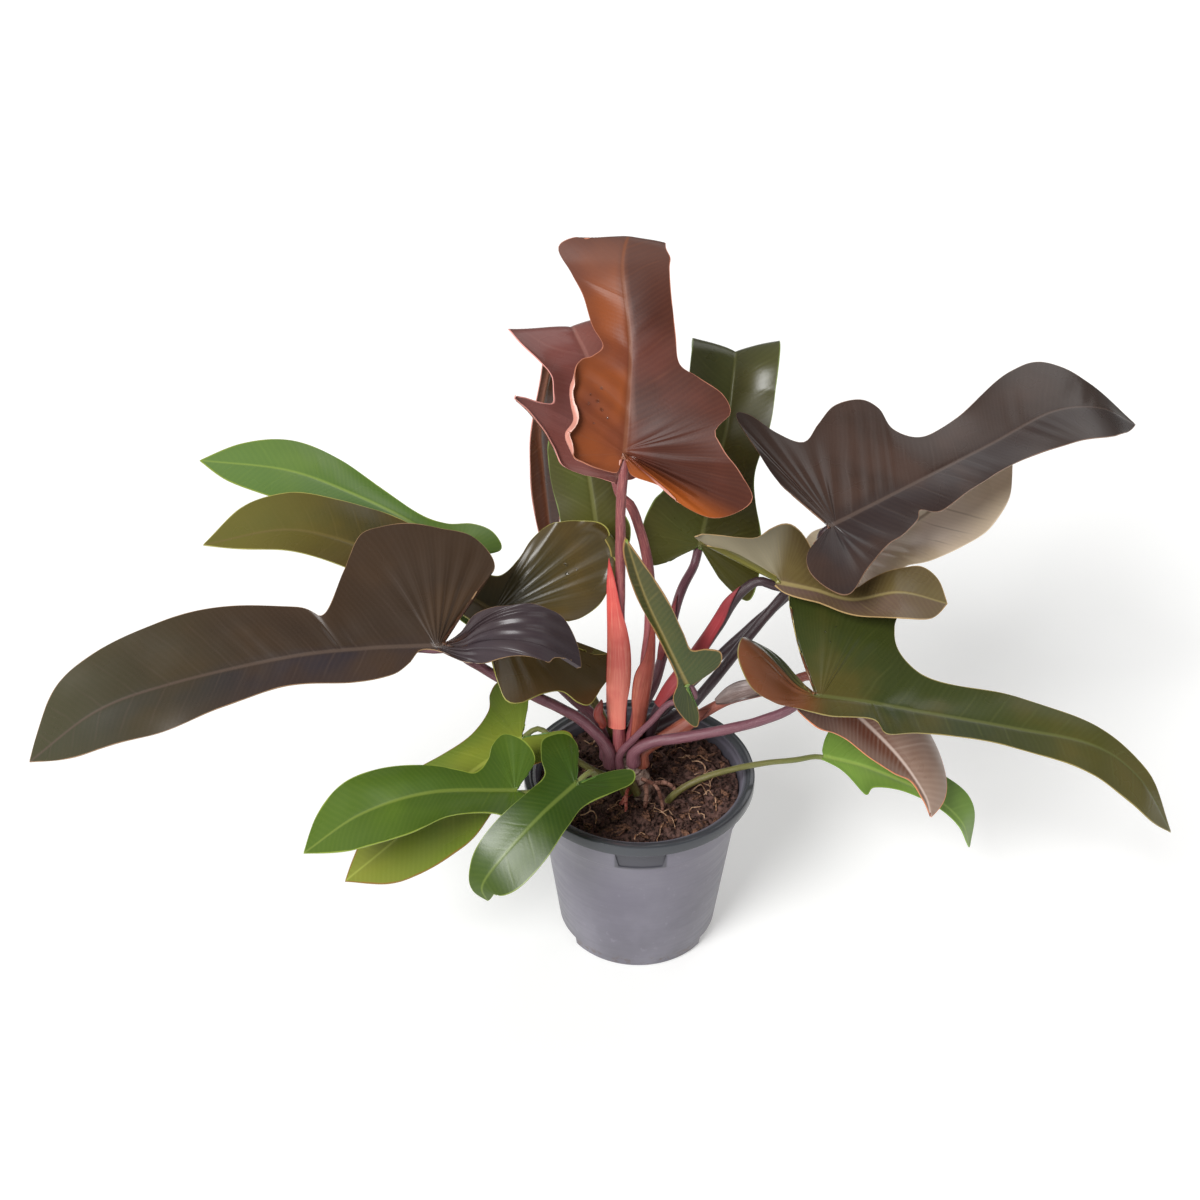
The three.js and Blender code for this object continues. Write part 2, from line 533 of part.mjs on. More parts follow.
// Blades: ribs fan out from the midrib to the outline, and each half bends along its ribs
function spineOf(points, face) {
  const curve = new THREE.CatmullRomCurve3(points.map(toVector), false, 'catmullrom', 0.5);
  curve.arcLengthDivisions = SPINE_STEPS;
  const length = curve.getLength();
  const stations = [];
  let normal = toVector(face);
  for (let i = 0; i <= SPINE_STEPS; i += 1) {
    const along = curve.getTangentAt(i / SPINE_STEPS);
    normal = normal.clone().addScaledVector(along, -normal.dot(along)).normalize();
    stations.push({ point: curve.getPointAt(i / SPINE_STEPS), along, normal });
  }
  function at(distance) {
    const place = Math.min(Math.max(distance / length, 0), 1) * SPINE_STEPS;
    const first = Math.min(Math.floor(place), SPINE_STEPS - 1);
    const part = place - first;
    const mix = (key) => stations[first][key].clone().lerp(stations[first + 1][key], part);
    const along = mix('along').normalize();
    const up = mix('normal').normalize();
    return { point: mix('point'), along, normal: up, across: along.clone().cross(up) };
  }
  return { length, at };
}

function valueAt(values, part) {
  const place = THREE.MathUtils.clamp(part, 0, 1) * (values.length - 1);
  const first = Math.min(Math.floor(place), values.length - 2);
  return THREE.MathUtils.lerp(values[first], values[first + 1], place - first);
}

function bendAt(values, part) {
  return radians(valueAt(values, (part - BEND_START) / (1 - BEND_START)));
}

// How far a lobe has gone back and up at a distance behind the stalk, and its slope there
function lobeRise(slopes, behind, reach) {
  const step = behind / LOBE_STEPS;
  const rise = { back: 0, up: 0, slope: radians(valueAt(slopes, behind / reach)) };
  for (let k = 0.5; k < LOBE_STEPS; k += 1) {
    const slope = radians(valueAt(slopes, k * step / reach));
    rise.back += step * Math.cos(slope);
    rise.up += step * Math.sin(slope);
  }
  return rise;
}

function bladePoint(spine, bend, side, along, out) {
  const frame = spine.at(along);
  const part = along / spine.length;
  const lobe = lobeRise(bend.nape, Math.max(0, -along), LOBE_REACH * spine.length);
  const point = frame.point.clone()
    .addScaledVector(frame.along, -lobe.back)
    .addScaledVector(frame.normal, lobe.up);
  const normal = frame.normal.clone().multiplyScalar(Math.cos(lobe.slope))
    .addScaledVector(frame.along, Math.sin(lobe.slope));
  const fold = bendAt(bend.fold, part);
  const curl = bendAt(bend.curl, part) / 100 || 1e-7;
  return point
    .addScaledVector(frame.across, side * (Math.sin(fold + curl * out) - Math.sin(fold)) / curl)
    .addScaledVector(normal, (Math.cos(fold) - Math.cos(fold + curl * out)) / curl);
}

function outlineRows(outline, length) {
  const ends = [...outline, [length, 0]].map(([along, out]) => new THREE.Vector2(along, out));
  const curve = new THREE.SplineCurve(ends);
  const rows = [];
  let foot = 0;
  for (let i = 0; i < ends.length - 1; i += 1) {
    const cuts = Math.max(1, Math.round(ends[i].distanceTo(ends[i + 1]) / ROW_LENGTH));
    for (let k = 0; k < cuts; k += 1) {
      const edge = curve.getPoint((i + k / cuts) / (ends.length - 1));
      const reach = Math.round((edge.x - VEIN_SLANT * edge.y) / FOOT_STEP) * FOOT_STEP;
      foot = Math.min(Math.max(foot, reach), length - FOOT_STEP);
      rows.push({ edge, foot });
    }
  }
  rows.push({ edge: ends[ends.length - 1], foot: length });
  return rows;
}

function bladeSheet(leaf, columns) {
  const spine = spineOf(leaf.spine, leaf.face);
  const halves = { left: -1, right: 1 };
  const rows = {};
  for (const half of Object.keys(halves)) {
    rows[half] = outlineRows(leaf[half], spine.length);
  }
  const feet = [...rows.left, ...rows.right].map((row) => row.foot);
  const midrib = [...new Set(feet)].sort((a, b) => a - b);
  const points = midrib.map((foot) => spine.at(foot).point);
  const triangles = [];
  const addTriangle = (side, a, b, c) => {
    if (a !== b && b !== c && c !== a) {
      triangles.push(side > 0 ? [a, b, c] : [a, c, b]);
    }
  };
  for (const [half, side] of Object.entries(halves)) {
    const bend = {
      nape: leaf.nape?.[half] ?? FLAT,
      fold: leaf.fold?.[half] ?? FLAT,
      curl: leaf.curl?.[half] ?? FLAT,
    };
    const lines = rows[half].map(({ edge, foot }) => {
      const root = midrib.indexOf(foot);
      if (foot === spine.length) {
        return Array(columns + 1).fill(root);
      }
      const line = [root];
      for (let k = 1; k <= columns; k += 1) {
        const along = foot + (edge.x - foot) * k / columns;
        points.push(bladePoint(spine, bend, side, along, edge.y * k / columns));
        line.push(points.length - 1);
      }
      return line;
    });
    for (let i = 0; i < lines.length - 1; i += 1) {
      const line = lines[i];
      const next = lines[i + 1];
      for (let foot = line[0]; foot < next[0]; foot += 1) {
        addTriangle(side, line[1], foot, foot + 1);
      }
      addTriangle(side, line[1], next[0], next[1]);
      for (let k = 1; k < columns; k += 1) {
        addTriangle(side, line[k + 1], line[k], next[k]);
        addTriangle(side, line[k + 1], next[k], next[k + 1]);
      }
    }
  }
  return { points, triangles };
}

// Gives a sheet its thickness: the same triangles on both faces, and a wall round the edge
function thicken({ points, triangles }) {
  const normals = points.map(() => new THREE.Vector3());
  const facing = new THREE.Triangle();
  for (const corners of triangles) {
    facing.set(...corners.map((corner) => points[corner]));
    const normal = facing.getNormal(new THREE.Vector3());
    corners.forEach((corner) => normals[corner].add(normal));
  }
  const shift = (sign) => points.map((point, i) => point.clone()
    .addScaledVector(normals[i].normalize(), sign * BLADE_HALF_THICKNESS));
  const under = points.length;
  const edges = new Set(triangles.flatMap(([a, b, c]) => [`${a},${b}`, `${b},${c}`, `${c},${a}`]));
  const solid = triangles.flatMap(([a, b, c]) => [[a, b, c], [c + under, b + under, a + under]]);
  for (const edge of edges) {
    const [a, b] = edge.split(',').map(Number);
    if (!edges.has(`${b},${a}`)) {
      solid.push([b, a, a + under], [b, a + under, b + under]);
    }
  }
  return meshGeometry([...shift(1), ...shift(-1)], solid);
}

// Stalks: from the stem, in a curve, to the underside of the blade where its midrib begins
function stemCentre(height) {
  const upper = Math.max(1, STEM_LINE.findIndex((point) => point[2] >= height));
  const [below, above] = [STEM_LINE[upper - 1], STEM_LINE[upper]].map(toVector);
  return below.lerp(above, (height - below.z) / (above.z - below.z));
}

function stemSide(seat, radius) {
  const reach = STEM_RADIUS + STEM_RING + radius + SEAT_GAP;
  const away = new THREE.Vector3(Math.cos(radians(seat.angle)), Math.sin(radians(seat.angle)), 0);
  const upper = seat.height + SEAT_LENGTH;
  const stemTop = STEM_LINE[STEM_LINE.length - 1][2];
  const last = stemCentre(Math.min(upper, stemTop)).addScaledVector(away, reach + SEAT_LEAN).setZ(upper);
  return [stemCentre(seat.height).addScaledVector(away, reach), last];
}

function stalkCurve(leaf, spine) {
  const radii = leaf.thin ? THIN_STALK_RADIUS : STALK_RADIUS;
  const { point, along, normal } = spine.at(0);
  const below = point.clone().addScaledVector(normal, -(radii[1] + BLADE_HALF_THICKNESS + 2 * GAP));
  const ends = [-(leaf.approach ?? STALK_APPROACH), STALK_END]
    .map((reach) => below.clone().addScaledVector(along, reach));
  const start = leaf.seat ? stemSide(leaf.seat, radii[0]) : [];
  return smoothLine([...start, ...leaf.stalk.map(toVector), ...ends].map((place) => [...place]));
}

function stalkRadius(leaf, part) {
  return THREE.MathUtils.lerp(...(leaf.thin ? THIN_STALK_RADIUS : STALK_RADIUS), part);
}

function stalkTube(leaf, extra = 0) {
  const curve = stalkCurve(leaf, spineOf(leaf.spine, leaf.face));
  return tube(curve, (part) => stalkRadius(leaf, part) + extra, STALK_SIDES, STALK_STEP);
}

function makeLeaf(name, leaf) {
  return [
    namedMesh(`${name}_blade`, thicken(bladeSheet(leaf, BLADE_COLUMNS)), leaf.colour, BLADE_ROUGHNESS),
    namedMesh(`${name}_stalk`, stalkTube(leaf), leaf.stalkColour, STALK_ROUGHNESS),
  ];
}

// A sheath is a narrow blade that lies along its stalk and is curled round it
function makeSheath(name, sheath) {
  const leaf = LEAVES[sheath.stalk];
  const curve = stalkCurve(leaf, spineOf(leaf.spine, leaf.face));
  const spine = SHEATH_STATIONS.map((station) => {
    const part = THREE.MathUtils.lerp(...sheath.reach, station);
    const along = curve.getTangentAt(part);
    const face = toVector(sheath.face);
    face.addScaledVector(along, -face.dot(along)).normalize();
    const lean = sheath.lean * station ** LEAN_POWER;
    const away = stalkRadius(leaf, part) + BLADE_HALF_THICKNESS + SHEATH_CLEARANCE 
      + LEAN_LIFT * Math.abs(lean);
    const aside = along.clone().cross(face).multiplyScalar(lean);
    return curve.getPointAt(part).addScaledVector(face, away).add(aside).toArray();
  });
  const { length } = spineOf(spine, sheath.face);
  const outline = (widths) => widths.map((width, i) => [length * i / widths.length, width]);
  const curl = { left: Array(2).fill(sheath.curl), right: Array(2).fill(sheath.curl) };
  const [left, right] = [sheath.left, sheath.right].map(outline);
  const sheet = bladeSheet({ spine, face: sheath.face, left, right, curl }, SHEATH_COLUMNS);
  return namedMesh(name, thicken(sheet), sheath.colour, STALK_ROUGHNESS);
}

const plant = new THREE.Group();
const shootHole = stalkTube(LEAVES.shoot_right, GAP);
plant.add(namedMesh('pot', makePot(), 0x6f6c76, 0.5));
plant.add(namedMesh('soil', makeSoil([stemTube(GAP), ...rootTubes(GAP), shootHole]), 0x2a1a14, 0.95));
plant.add(namedMesh('stem', makeStem(), 0x7a6553, 0.8));
for (const [name, leaf] of Object.entries(LEAVES)) {
  plant.add(...makeLeaf(name, leaf));
}
for (const [name, sheath] of Object.entries(SHEATHS)) {
  plant.add(makeSheath(name, sheath));
}

export default plant;
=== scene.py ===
# A potted bronze-leaved philodendron: a nursery pot of soil, a short stem and seventeen long-stalked
# leaves. The tables are in millimetres, as the solids are; meshes are laid down in metres.
import math

import bpy
import numpy as np
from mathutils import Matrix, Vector, noise


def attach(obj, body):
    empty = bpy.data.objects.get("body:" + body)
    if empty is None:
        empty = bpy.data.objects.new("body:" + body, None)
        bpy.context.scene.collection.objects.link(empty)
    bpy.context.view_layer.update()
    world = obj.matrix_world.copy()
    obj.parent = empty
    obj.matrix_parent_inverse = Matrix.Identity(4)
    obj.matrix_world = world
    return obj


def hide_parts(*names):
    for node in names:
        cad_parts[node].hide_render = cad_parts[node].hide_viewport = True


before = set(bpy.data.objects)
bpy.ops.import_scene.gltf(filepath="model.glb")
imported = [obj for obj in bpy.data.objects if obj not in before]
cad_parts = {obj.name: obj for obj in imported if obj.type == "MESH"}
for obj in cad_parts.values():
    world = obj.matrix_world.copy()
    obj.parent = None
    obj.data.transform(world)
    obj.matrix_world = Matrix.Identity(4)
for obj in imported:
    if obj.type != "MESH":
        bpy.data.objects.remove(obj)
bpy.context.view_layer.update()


# Camera: it stands in front of the plant and looks down on it, as the photographer did. The lens gives
# the photograph's perspective.
MM = 0.001
CAMERA_PLACE = (-28.8, -964.3, 949.9)
CAMERA_DIP = 34.22
CAMERA_LENS = 51.0


def metres(lengths):
    """Lengths given in millimetres, in metres"""
    return [length * MM for length in lengths]


bpy.ops.object.select_all(action="DESELECT")
bpy.ops.object.camera_add(location=metres(CAMERA_PLACE), rotation=(math.radians(90 - CAMERA_DIP), 0, 0))
camera = bpy.context.object
camera.data.lens = CAMERA_LENS
bpy.context.scene.camera = camera


# Studio: a white table that runs out of sight and glows a little, a surround that is paler on the left,
# a large soft light from the front left above, and weak ones from behind and from the right. Colours
# are shown plainly, without a film look.
def light_of(chip):
    """A colour chip, such as 4b3f3a, as light"""
    parts = [int(chip[k:k + 2], 16) / 255 for k in (0, 2, 4)]
    return [*(c / 12.92 if c < 0.04 else ((c + 0.055) / 1.055) ** 2.4 for c in parts), 1.0]


def feed(tree, socket, value):
    """Plugs an output into a socket, or sets the socket to a value or a colour chip"""
    if isinstance(value, bpy.types.NodeSocket):
        tree.links.new(value, socket)
    else:
        socket.default_value = light_of(value) if isinstance(value, str) else value


def place_node(tree, kind, settings=(), **sockets):
    """Adds a node, with its settings and what its sockets hold"""
    node = tree.nodes.new(kind)
    for name, value in dict(settings).items():
        setattr(node, name, value)
    for name, value in sockets.items():
        feed(tree, node.inputs[name.replace("_", " ")], value)
    return node


def ease(tree, value, low, high, start=0.0, end=1.0):
    """start where value is at low, end where it is at high, and a smooth change between"""
    node = place_node(tree, "ShaderNodeMapRange", {"interpolation_type": "SMOOTHSTEP"})
    for socket, number in zip(node.inputs, (value, low, high, start, end)):
        feed(tree, socket, number)
    return node.outputs[0]


def blend_colours(tree, share, first, second):
    """The first colour, with a share of the second"""
    node = place_node(tree, "ShaderNodeMix", {"data_type": "RGBA"})
    for index, value in ((0, share), (6, first), (7, second)):
        feed(tree, node.inputs[index], value)
    return node.outputs[2]


def grain(tree, where, scale, detail=2.0, roughness=0.5):
    """Cloudy variation of the given fineness, from 0 to 1"""
    return place_node(tree, "ShaderNodeTexNoise", Vector=where, Scale=scale, Detail=detail,
                      Roughness=roughness).outputs[0]


def on_piece(tree):
    """The place on the piece, which its patterns follow"""
    return place_node(tree, "ShaderNodeTexCoord").outputs["Object"]


def new_finish(name, **plain):
    """A material with its surface node; plain holds what is the same all over"""
    material = bpy.data.materials.new(name)
    material.use_nodes = True
    tree = material.node_tree
    surface = next(node for node in tree.nodes if node.type == "BSDF_PRINCIPLED")
    for socket, value in plain.items():
        surface.inputs[socket.replace("_", " ")].default_value = value
    return material, tree, surface


bpy.ops.mesh.primitive_plane_add(size=16)
floor = bpy.context.object
floor.name = "studio_floor"
material, tree, surface = new_finish("white_table", Roughness=0.7, Specular_IOR_Level=0.2,
                                     Emission_Strength=0.42)
white = blend_colours(tree, grain(tree, on_piece(tree), 3.0), "dededd", "e4e4e3")
feed(tree, surface.inputs["Base Color"], white)
feed(tree, surface.inputs["Emission Color"], white)
floor.data.materials.append(material)

surround = bpy.data.worlds.new("studio")
surround.use_nodes = True
tree = surround.node_tree
ahead = place_node(tree, "ShaderNodeSeparateXYZ", Vector=place_node(
    tree, "ShaderNodeTexCoord").outputs["Generated"]).outputs
tree.nodes["Background"].inputs[0].default_value = (1.0, 1.0, 1.0, 1.0)
feed(tree, tree.nodes["Background"].inputs[1], ease(tree, ahead[0], -0.9, 0.5, 0.45, 0.16))
bpy.context.scene.world = surround
bpy.context.scene.view_settings.view_transform = "Standard"


def hang_sun(name, towards, angle, strength):
    """A soft distant light that shines from the given direction"""
    turn = Vector(towards).to_track_quat("Z", "Y").to_euler()
    bpy.ops.object.light_add(type="SUN", location=Vector(towards) * 2, rotation=turn)
    lamp = bpy.context.object
    lamp.name = name
    lamp.data.angle = math.radians(angle)
    lamp.data.energy = strength


hang_sun("window_left", (-0.5, -0.6, 0.64), 28, 3.2)
hang_sun("window_behind", (0.35, 0.6, 0.8), 40, 0.5)
hang_sun("window_right", (0.85, -0.1, 0.45), 50, 0.2)


# Pot: a nursery pot moulded in one wall of dark plastic, with a rolled rim, a band under it that has a
# shallow recess at the front, a solid foot ring with notches, and drain holes. It stands on its foot.
POT_SIDES = 144
POT_WALL = 1.8
BAND_FOOT = 114.0
BAND_RADIUS = 75.7
NOTCH_SIZE = (18, 33, 10)
NOTCH_REACH = 62
NOTCH_TURNS = (90, 202, 338)
DRAIN_HOLES = 6
DRAIN_RADIUS = 4
DRAIN_REACH = 32
RECESS_MIDDLE = (0, -77.5, 125.6)
RECESS_SIZE = (41, 12, 19.2)
RECESS_FOOT = 31
RECESS_DEPTH = 1.1
SOFT_EDGE = 0.4


def wall_radius(height):
    """The tapered wall's outer radius"""
    return 59 + 0.125 * height


POT_PROFILE = [
    (56, 0), (57.4, 0.1), (58.7, 0.8), (59.3, 2), (wall_radius(40), 40), (wall_radius(80), 80),
    (wall_radius(113.4), 113.4), (75.3, BAND_FOOT), (BAND_RADIUS, 115), (76.2, 140.9), (82.6, 141.5),
    (83.2, 140.8), (83.3, 135.4), (83.7, 135), (84.5, 135), (85, 135.6), (85, 142.1), (84.6, 143.1),
    (83.8, 143.5), (80.8, 143.5), (79.8, 143.2), (79.2, 142.4), (74.5, 135.2), (73.9, 116),
    (71.5, 113.5), (wall_radius(60) - POT_WALL, 60), (wall_radius(10) - POT_WALL, 10), (50, 10), (49, 3)]


def dress(piece, name, material, slot, *nodes):
    """Names a finished piece, gives it its finish and says which solids it stands for"""
    piece.name = name
    piece.data.name = name
    if piece.data.materials:
        piece.data.materials[0] = material
    else:
        piece.data.materials.append(material)
    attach(piece, "root")
    if nodes:
        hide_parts(*nodes)


def face_outwards():
    """Turns every face of the mesh being edited outwards, and ends the editing"""
    bpy.ops.mesh.select_all(action="SELECT")
    bpy.ops.mesh.normals_make_consistent(inside=False)
    bpy.ops.object.mode_set(mode="OBJECT")


def draw_profile(profile, sides):
    """A disc is drawn up ring by ring along the profile and closed by its last ring"""
    bpy.ops.object.select_all(action="DESELECT")
    bpy.ops.mesh.primitive_circle_add(vertices=sides, radius=profile[0][0] * MM, fill_type="NGON",
                                      location=(0, 0, profile[0][1] * MM))
    bpy.ops.object.transform_apply(location=True, rotation=False, scale=False)
    bpy.ops.object.mode_set(mode="EDIT")
    for (radius, height), (wider, higher) in zip(profile, profile[1:]):
        bpy.ops.mesh.extrude_region_move(
            TRANSFORM_OT_translate={"value": (0, 0, (higher - height) * MM)})
        bpy.ops.transform.resize(value=(wider / radius, wider / radius, 1),
                                 center_override=(0, 0, higher * MM))
    face_outwards()
    return bpy.context.object


def apply_modifier(piece, kind, **settings):
    """Finishes a piece with a modifier and makes the result its mesh"""
    bpy.context.view_layer.objects.active = piece
    bpy.ops.object.modifier_add(type=kind)
    for name, value in settings.items():
        setattr(piece.modifiers[-1], name, value)
    bpy.ops.object.modifier_apply(modifier=piece.modifiers[-1].name)


def cut_away(piece, cutter):
    """Cuts the cutter's shape out of the piece"""
    bpy.ops.object.select_all(action="DESELECT")
    apply_modifier(piece, "BOOLEAN", object=cutter, operation="DIFFERENCE")
    bpy.data.objects.remove(cutter)


def round_the_pot(angle, radius, height):
    """A place at an angle round the pot, in metres"""
    turn = math.radians(angle)
    return metres((radius * math.cos(turn), radius * math.sin(turn), height))


pot = draw_profile(POT_PROFILE, POT_SIDES)
for angle in NOTCH_TURNS:
    bpy.ops.mesh.primitive_cube_add(size=1, location=round_the_pot(angle, NOTCH_REACH, 3),
                                    rotation=(0, 0, math.radians(angle)), scale=metres(NOTCH_SIZE))
    cut_away(pot, bpy.context.object)
for count in range(DRAIN_HOLES):
    bpy.ops.mesh.primitive_cylinder_add(
        vertices=24, radius=DRAIN_RADIUS * MM, depth=12 * MM,
        location=round_the_pot(30 + 360 / DRAIN_HOLES * count, DRAIN_REACH, 1.5))
    cut_away(pot, bpy.context.object)

# The recess in the band's front follows its curve and is narrower at the foot
bpy.ops.mesh.primitive_cube_add(size=1, location=metres(RECESS_MIDDLE), scale=metres(RECESS_SIZE))
recess = bpy.context.object
bpy.ops.object.mode_set(mode="EDIT")
bpy.ops.mesh.select_all(action="DESELECT")
bpy.ops.object.mode_set(mode="OBJECT")
for corner in recess.data.vertices:
    corner.select = corner.co.z < 0
bpy.ops.object.mode_set(mode="EDIT")
bpy.ops.transform.resize(value=(RECESS_FOOT / RECESS_SIZE[0], 1, 1), center_override=metres(RECESS_MIDDLE))
bpy.ops.object.mode_set(mode="OBJECT")
bpy.ops.mesh.primitive_cylinder_add(vertices=POT_SIDES, radius=(BAND_RADIUS - RECESS_DEPTH) * MM,
                                    depth=40 * MM, location=metres((0, 0, RECESS_MIDDLE[2])))
cut_away(recess, bpy.context.object)
cut_away(pot, recess)
bpy.ops.object.select_all(action="DESELECT")
pot.select_set(True)
apply_modifier(pot, "BEVEL", width=SOFT_EDGE * MM, segments=2, limit_method="ANGLE",
               angle_limit=math.radians(35))
bpy.ops.object.shade_smooth_by_angle(angle=math.radians(38))


def reckon(tree, operation, a, b=0.0, clamp=False):
    """One sum on two values"""
    node = place_node(tree, "ShaderNodeMath", {"operation": operation, "use_clamp": clamp})
    feed(tree, node.inputs[0], a)
    feed(tree, node.inputs[1], b)
    return node.outputs[0]


def times(tree, first, *others):
    """The product of values"""
    for value in others:
        first = reckon(tree, "MULTIPLY", first, value)
    return first


def fade(tree, value, low, high):
    """1 up to low, 0 from high, and a smooth change between"""
    return ease(tree, value, low, high, 1.0, 0.0)


def paint_over(tree, colour, *coats):
    """A colour with coats over it, one after the other, each a share and a colour"""
    for share, coat in coats:
        colour = blend_colours(tree, share, colour, coat)
    return colour


def coat_surface(tree, surface, colour, roughness, height, depth, strength):
    """Gives a surface its colour and roughness, and fine relief as a bump with a depth in metres"""
    bump = place_node(tree, "ShaderNodeBump", Height=height, Distance=depth, Strength=strength)
    for socket, value in (("Base Color", colour), ("Roughness", roughness), ("Normal", bump.outputs[0])):
        feed(tree, surface.inputs[socket], value)


material, tree, surface = new_finish("moulded_plastic", Specular_IOR_Level=0.5)
where = on_piece(tree)
x, y, z = place_node(tree, "ShaderNodeSeparateXYZ", Vector=where).outputs
level, drawn = (place_node(tree, "ShaderNodeMapping", Vector=where, Scale=scale).outputs[0]
                for scale in ((1.0, 1.0, 0.0), (1.0, 1.0, 14.0)))
reach = place_node(tree, "ShaderNodeVectorMath", {"operation": "LENGTH"}, Vector=level).outputs["Value"]
# The rim is painted darker than the wall: a painted dark reflection in its gloss, mottled by the bloom.
rim = times(tree, ease(tree, z, 0.134, 0.1355), ease(tree, reach, 0.075, 0.0795))
# Painted shade: the inside of the pot's mouth above the soil, and the wall just under the band, are painted
# near black.
inner_painted_shade = times(tree, fade(tree, reach, 0.0735, 0.0752), ease(tree, z, 0.11, 0.12))
# Painted shade: the recess in the band's front is painted darker, as shade falls in it.
recess_painted_shade = times(tree, fade(tree, reckon(tree, "ABSOLUTE", x), 0.0175, 0.0195), fade(tree, y, -0.069, -0.067),
               ease(tree, z, 0.113, 0.1155), fade(tree, z, 0.1252, 0.1262))
streaks = grain(tree, drawn, 22.0, 3.0)
bloom = grain(tree, where, 16.0, 4.0, 0.6)
scuffs = ease(tree, grain(tree, where, 160.0, 3.0), 0.62, 0.74)
mud = times(tree, fade(tree, z, 0.0, 0.014), ease(tree, grain(tree, where, 210.0, 4.0, 0.7), 0.5, 0.62))
colour = paint_over(
    tree, blend_colours(tree, ease(tree, z, 0.0, 0.11), "625f69", "706c79"),
    (ease(tree, bloom, 0.35, 0.7), "77747f"), (times(tree, scuffs, 0.25), "8d8a94"),
    (times(tree, mud, 0.8), "5a4436"), (rim, blend_colours(tree, bloom, "34363a", "484b50")),
    (inner_painted_shade, "2a2a2e"), (times(tree, recess_painted_shade, 0.75), "3c3d42"))
roughness = blend_colours(tree, rim, ease(tree, streaks, 0.2, 0.8, 0.32, 0.46),
                          ease(tree, bloom, 0.3, 0.7, 0.1, 0.2))
coat_surface(tree, surface, colour, roughness, reckon(tree, "ADD", streaks, bloom), 0.0003, 0.3)
dress(pot, "nursery_pot", material, "pot", "pot")


# Soil: dark peat with coconut chips. It is a bed that fills the pot, with loose crumbs and chips lying
# on it, clear of the stem.
SOIL_TOP = 129.0
SOIL_EDGE = 73.5
SOIL_CUTS = 130
SOIL_SIDES = ((116, 73.4), (113.2, 71.0), (10.6, 58.0), (10.5, 49.4), (3.5, 48.8))
LOOSE_REACH = 71
STEM_FOOT = (3, -8)


def soil_height(x, y):
    """The bed's rough top, in millimetres"""
    wide = 2.2 * (0.5 * math.sin(x / 7 + 1.3 * math.sin(y / 9)) + 0.5 * math.cos(y / 6 + x / 15))
    crumbs = noise.fractal(Vector((x / 7, y / 7, 3.1)), 0.7, 2.1, 4)
    return SOIL_TOP + 0.8 * wide + 2.8 * crumbs


def from_stem(x, y):
    """How far a place on the soil is from the stem's middle"""
    return math.hypot(x - STEM_FOOT[0], y - STEM_FOOT[1])


bpy.ops.object.select_all(action="DESELECT")
bpy.ops.mesh.primitive_grid_add(x_subdivisions=SOIL_CUTS, y_subdivisions=SOIL_CUTS, size=2)
soil = bpy.context.object
for corner in soil.data.vertices:
    x, y = corner.co.x, corner.co.y
    x, y = (SOIL_EDGE * x * math.sqrt(1 - y * y / 2), SOIL_EDGE * y * math.sqrt(1 - x * x / 2))
    corner.co = Vector((x, y, soil_height(x, y))) * MM
bpy.ops.object.mode_set(mode="EDIT")
bpy.ops.mesh.select_all(action="DESELECT")
bpy.ops.mesh.select_mode(type="EDGE")
bpy.ops.mesh.select_non_manifold()
edge = SOIL_EDGE
for height, radius in SOIL_SIDES:
    bpy.ops.mesh.extrude_edges_move()
    for value in ((1, 1, 0), (radius / edge, radius / edge, 1)):
        bpy.ops.transform.resize(value=value, center_override=(0, 0, height * MM))
    edge = radius
bpy.ops.mesh.edge_face_add()
face_outwards()
bpy.ops.object.shade_smooth()


def peat_finish(name, dark, light, scale):
    """Crumbly, matt and uneven in colour"""
    material, tree, surface = new_finish(name, Specular_IOR_Level=0.25)
    where = on_piece(tree)
    clods = place_node(tree, "ShaderNodeTexVoronoi", Vector=where, Scale=scale).outputs["Distance"]
    crumbs = grain(tree, where, scale * 1.7, 5.0, 0.7)
    share = ease(tree, times(tree, crumbs, reckon(tree, "ADD", clods, 0.6)), 0.3, 0.72)
    coat_surface(tree, surface, blend_colours(tree, share, dark, light),
                 ease(tree, crumbs, 0.2, 0.8, 0.95, 0.75), reckon(tree, "SUBTRACT", crumbs, clods),
                 0.0012, 0.9)
    return material


dress(soil, "soil_bed", peat_finish("wet_peat", "241a18", "6c5048", 260.0), "soil", "soil")

# A chip is a rounded crumb with a few dozen faces; each lies at its own place, turn and size
bpy.ops.object.select_all(action="DESELECT")
bpy.ops.mesh.primitive_ico_sphere_add(subdivisions=1, radius=1)
crumb = bpy.context.object
bpy.ops.object.mode_set(mode="EDIT")
bpy.ops.mesh.select_all(action="SELECT")
bpy.ops.mesh.subdivide(number_cuts=1)
bpy.ops.object.mode_set(mode="OBJECT")
crumb_points = np.array([corner.co[:] for corner in crumb.data.vertices])
crumb_faces = np.array([face.vertices[:] for face in crumb.data.polygons])
bpy.data.objects.remove(crumb)


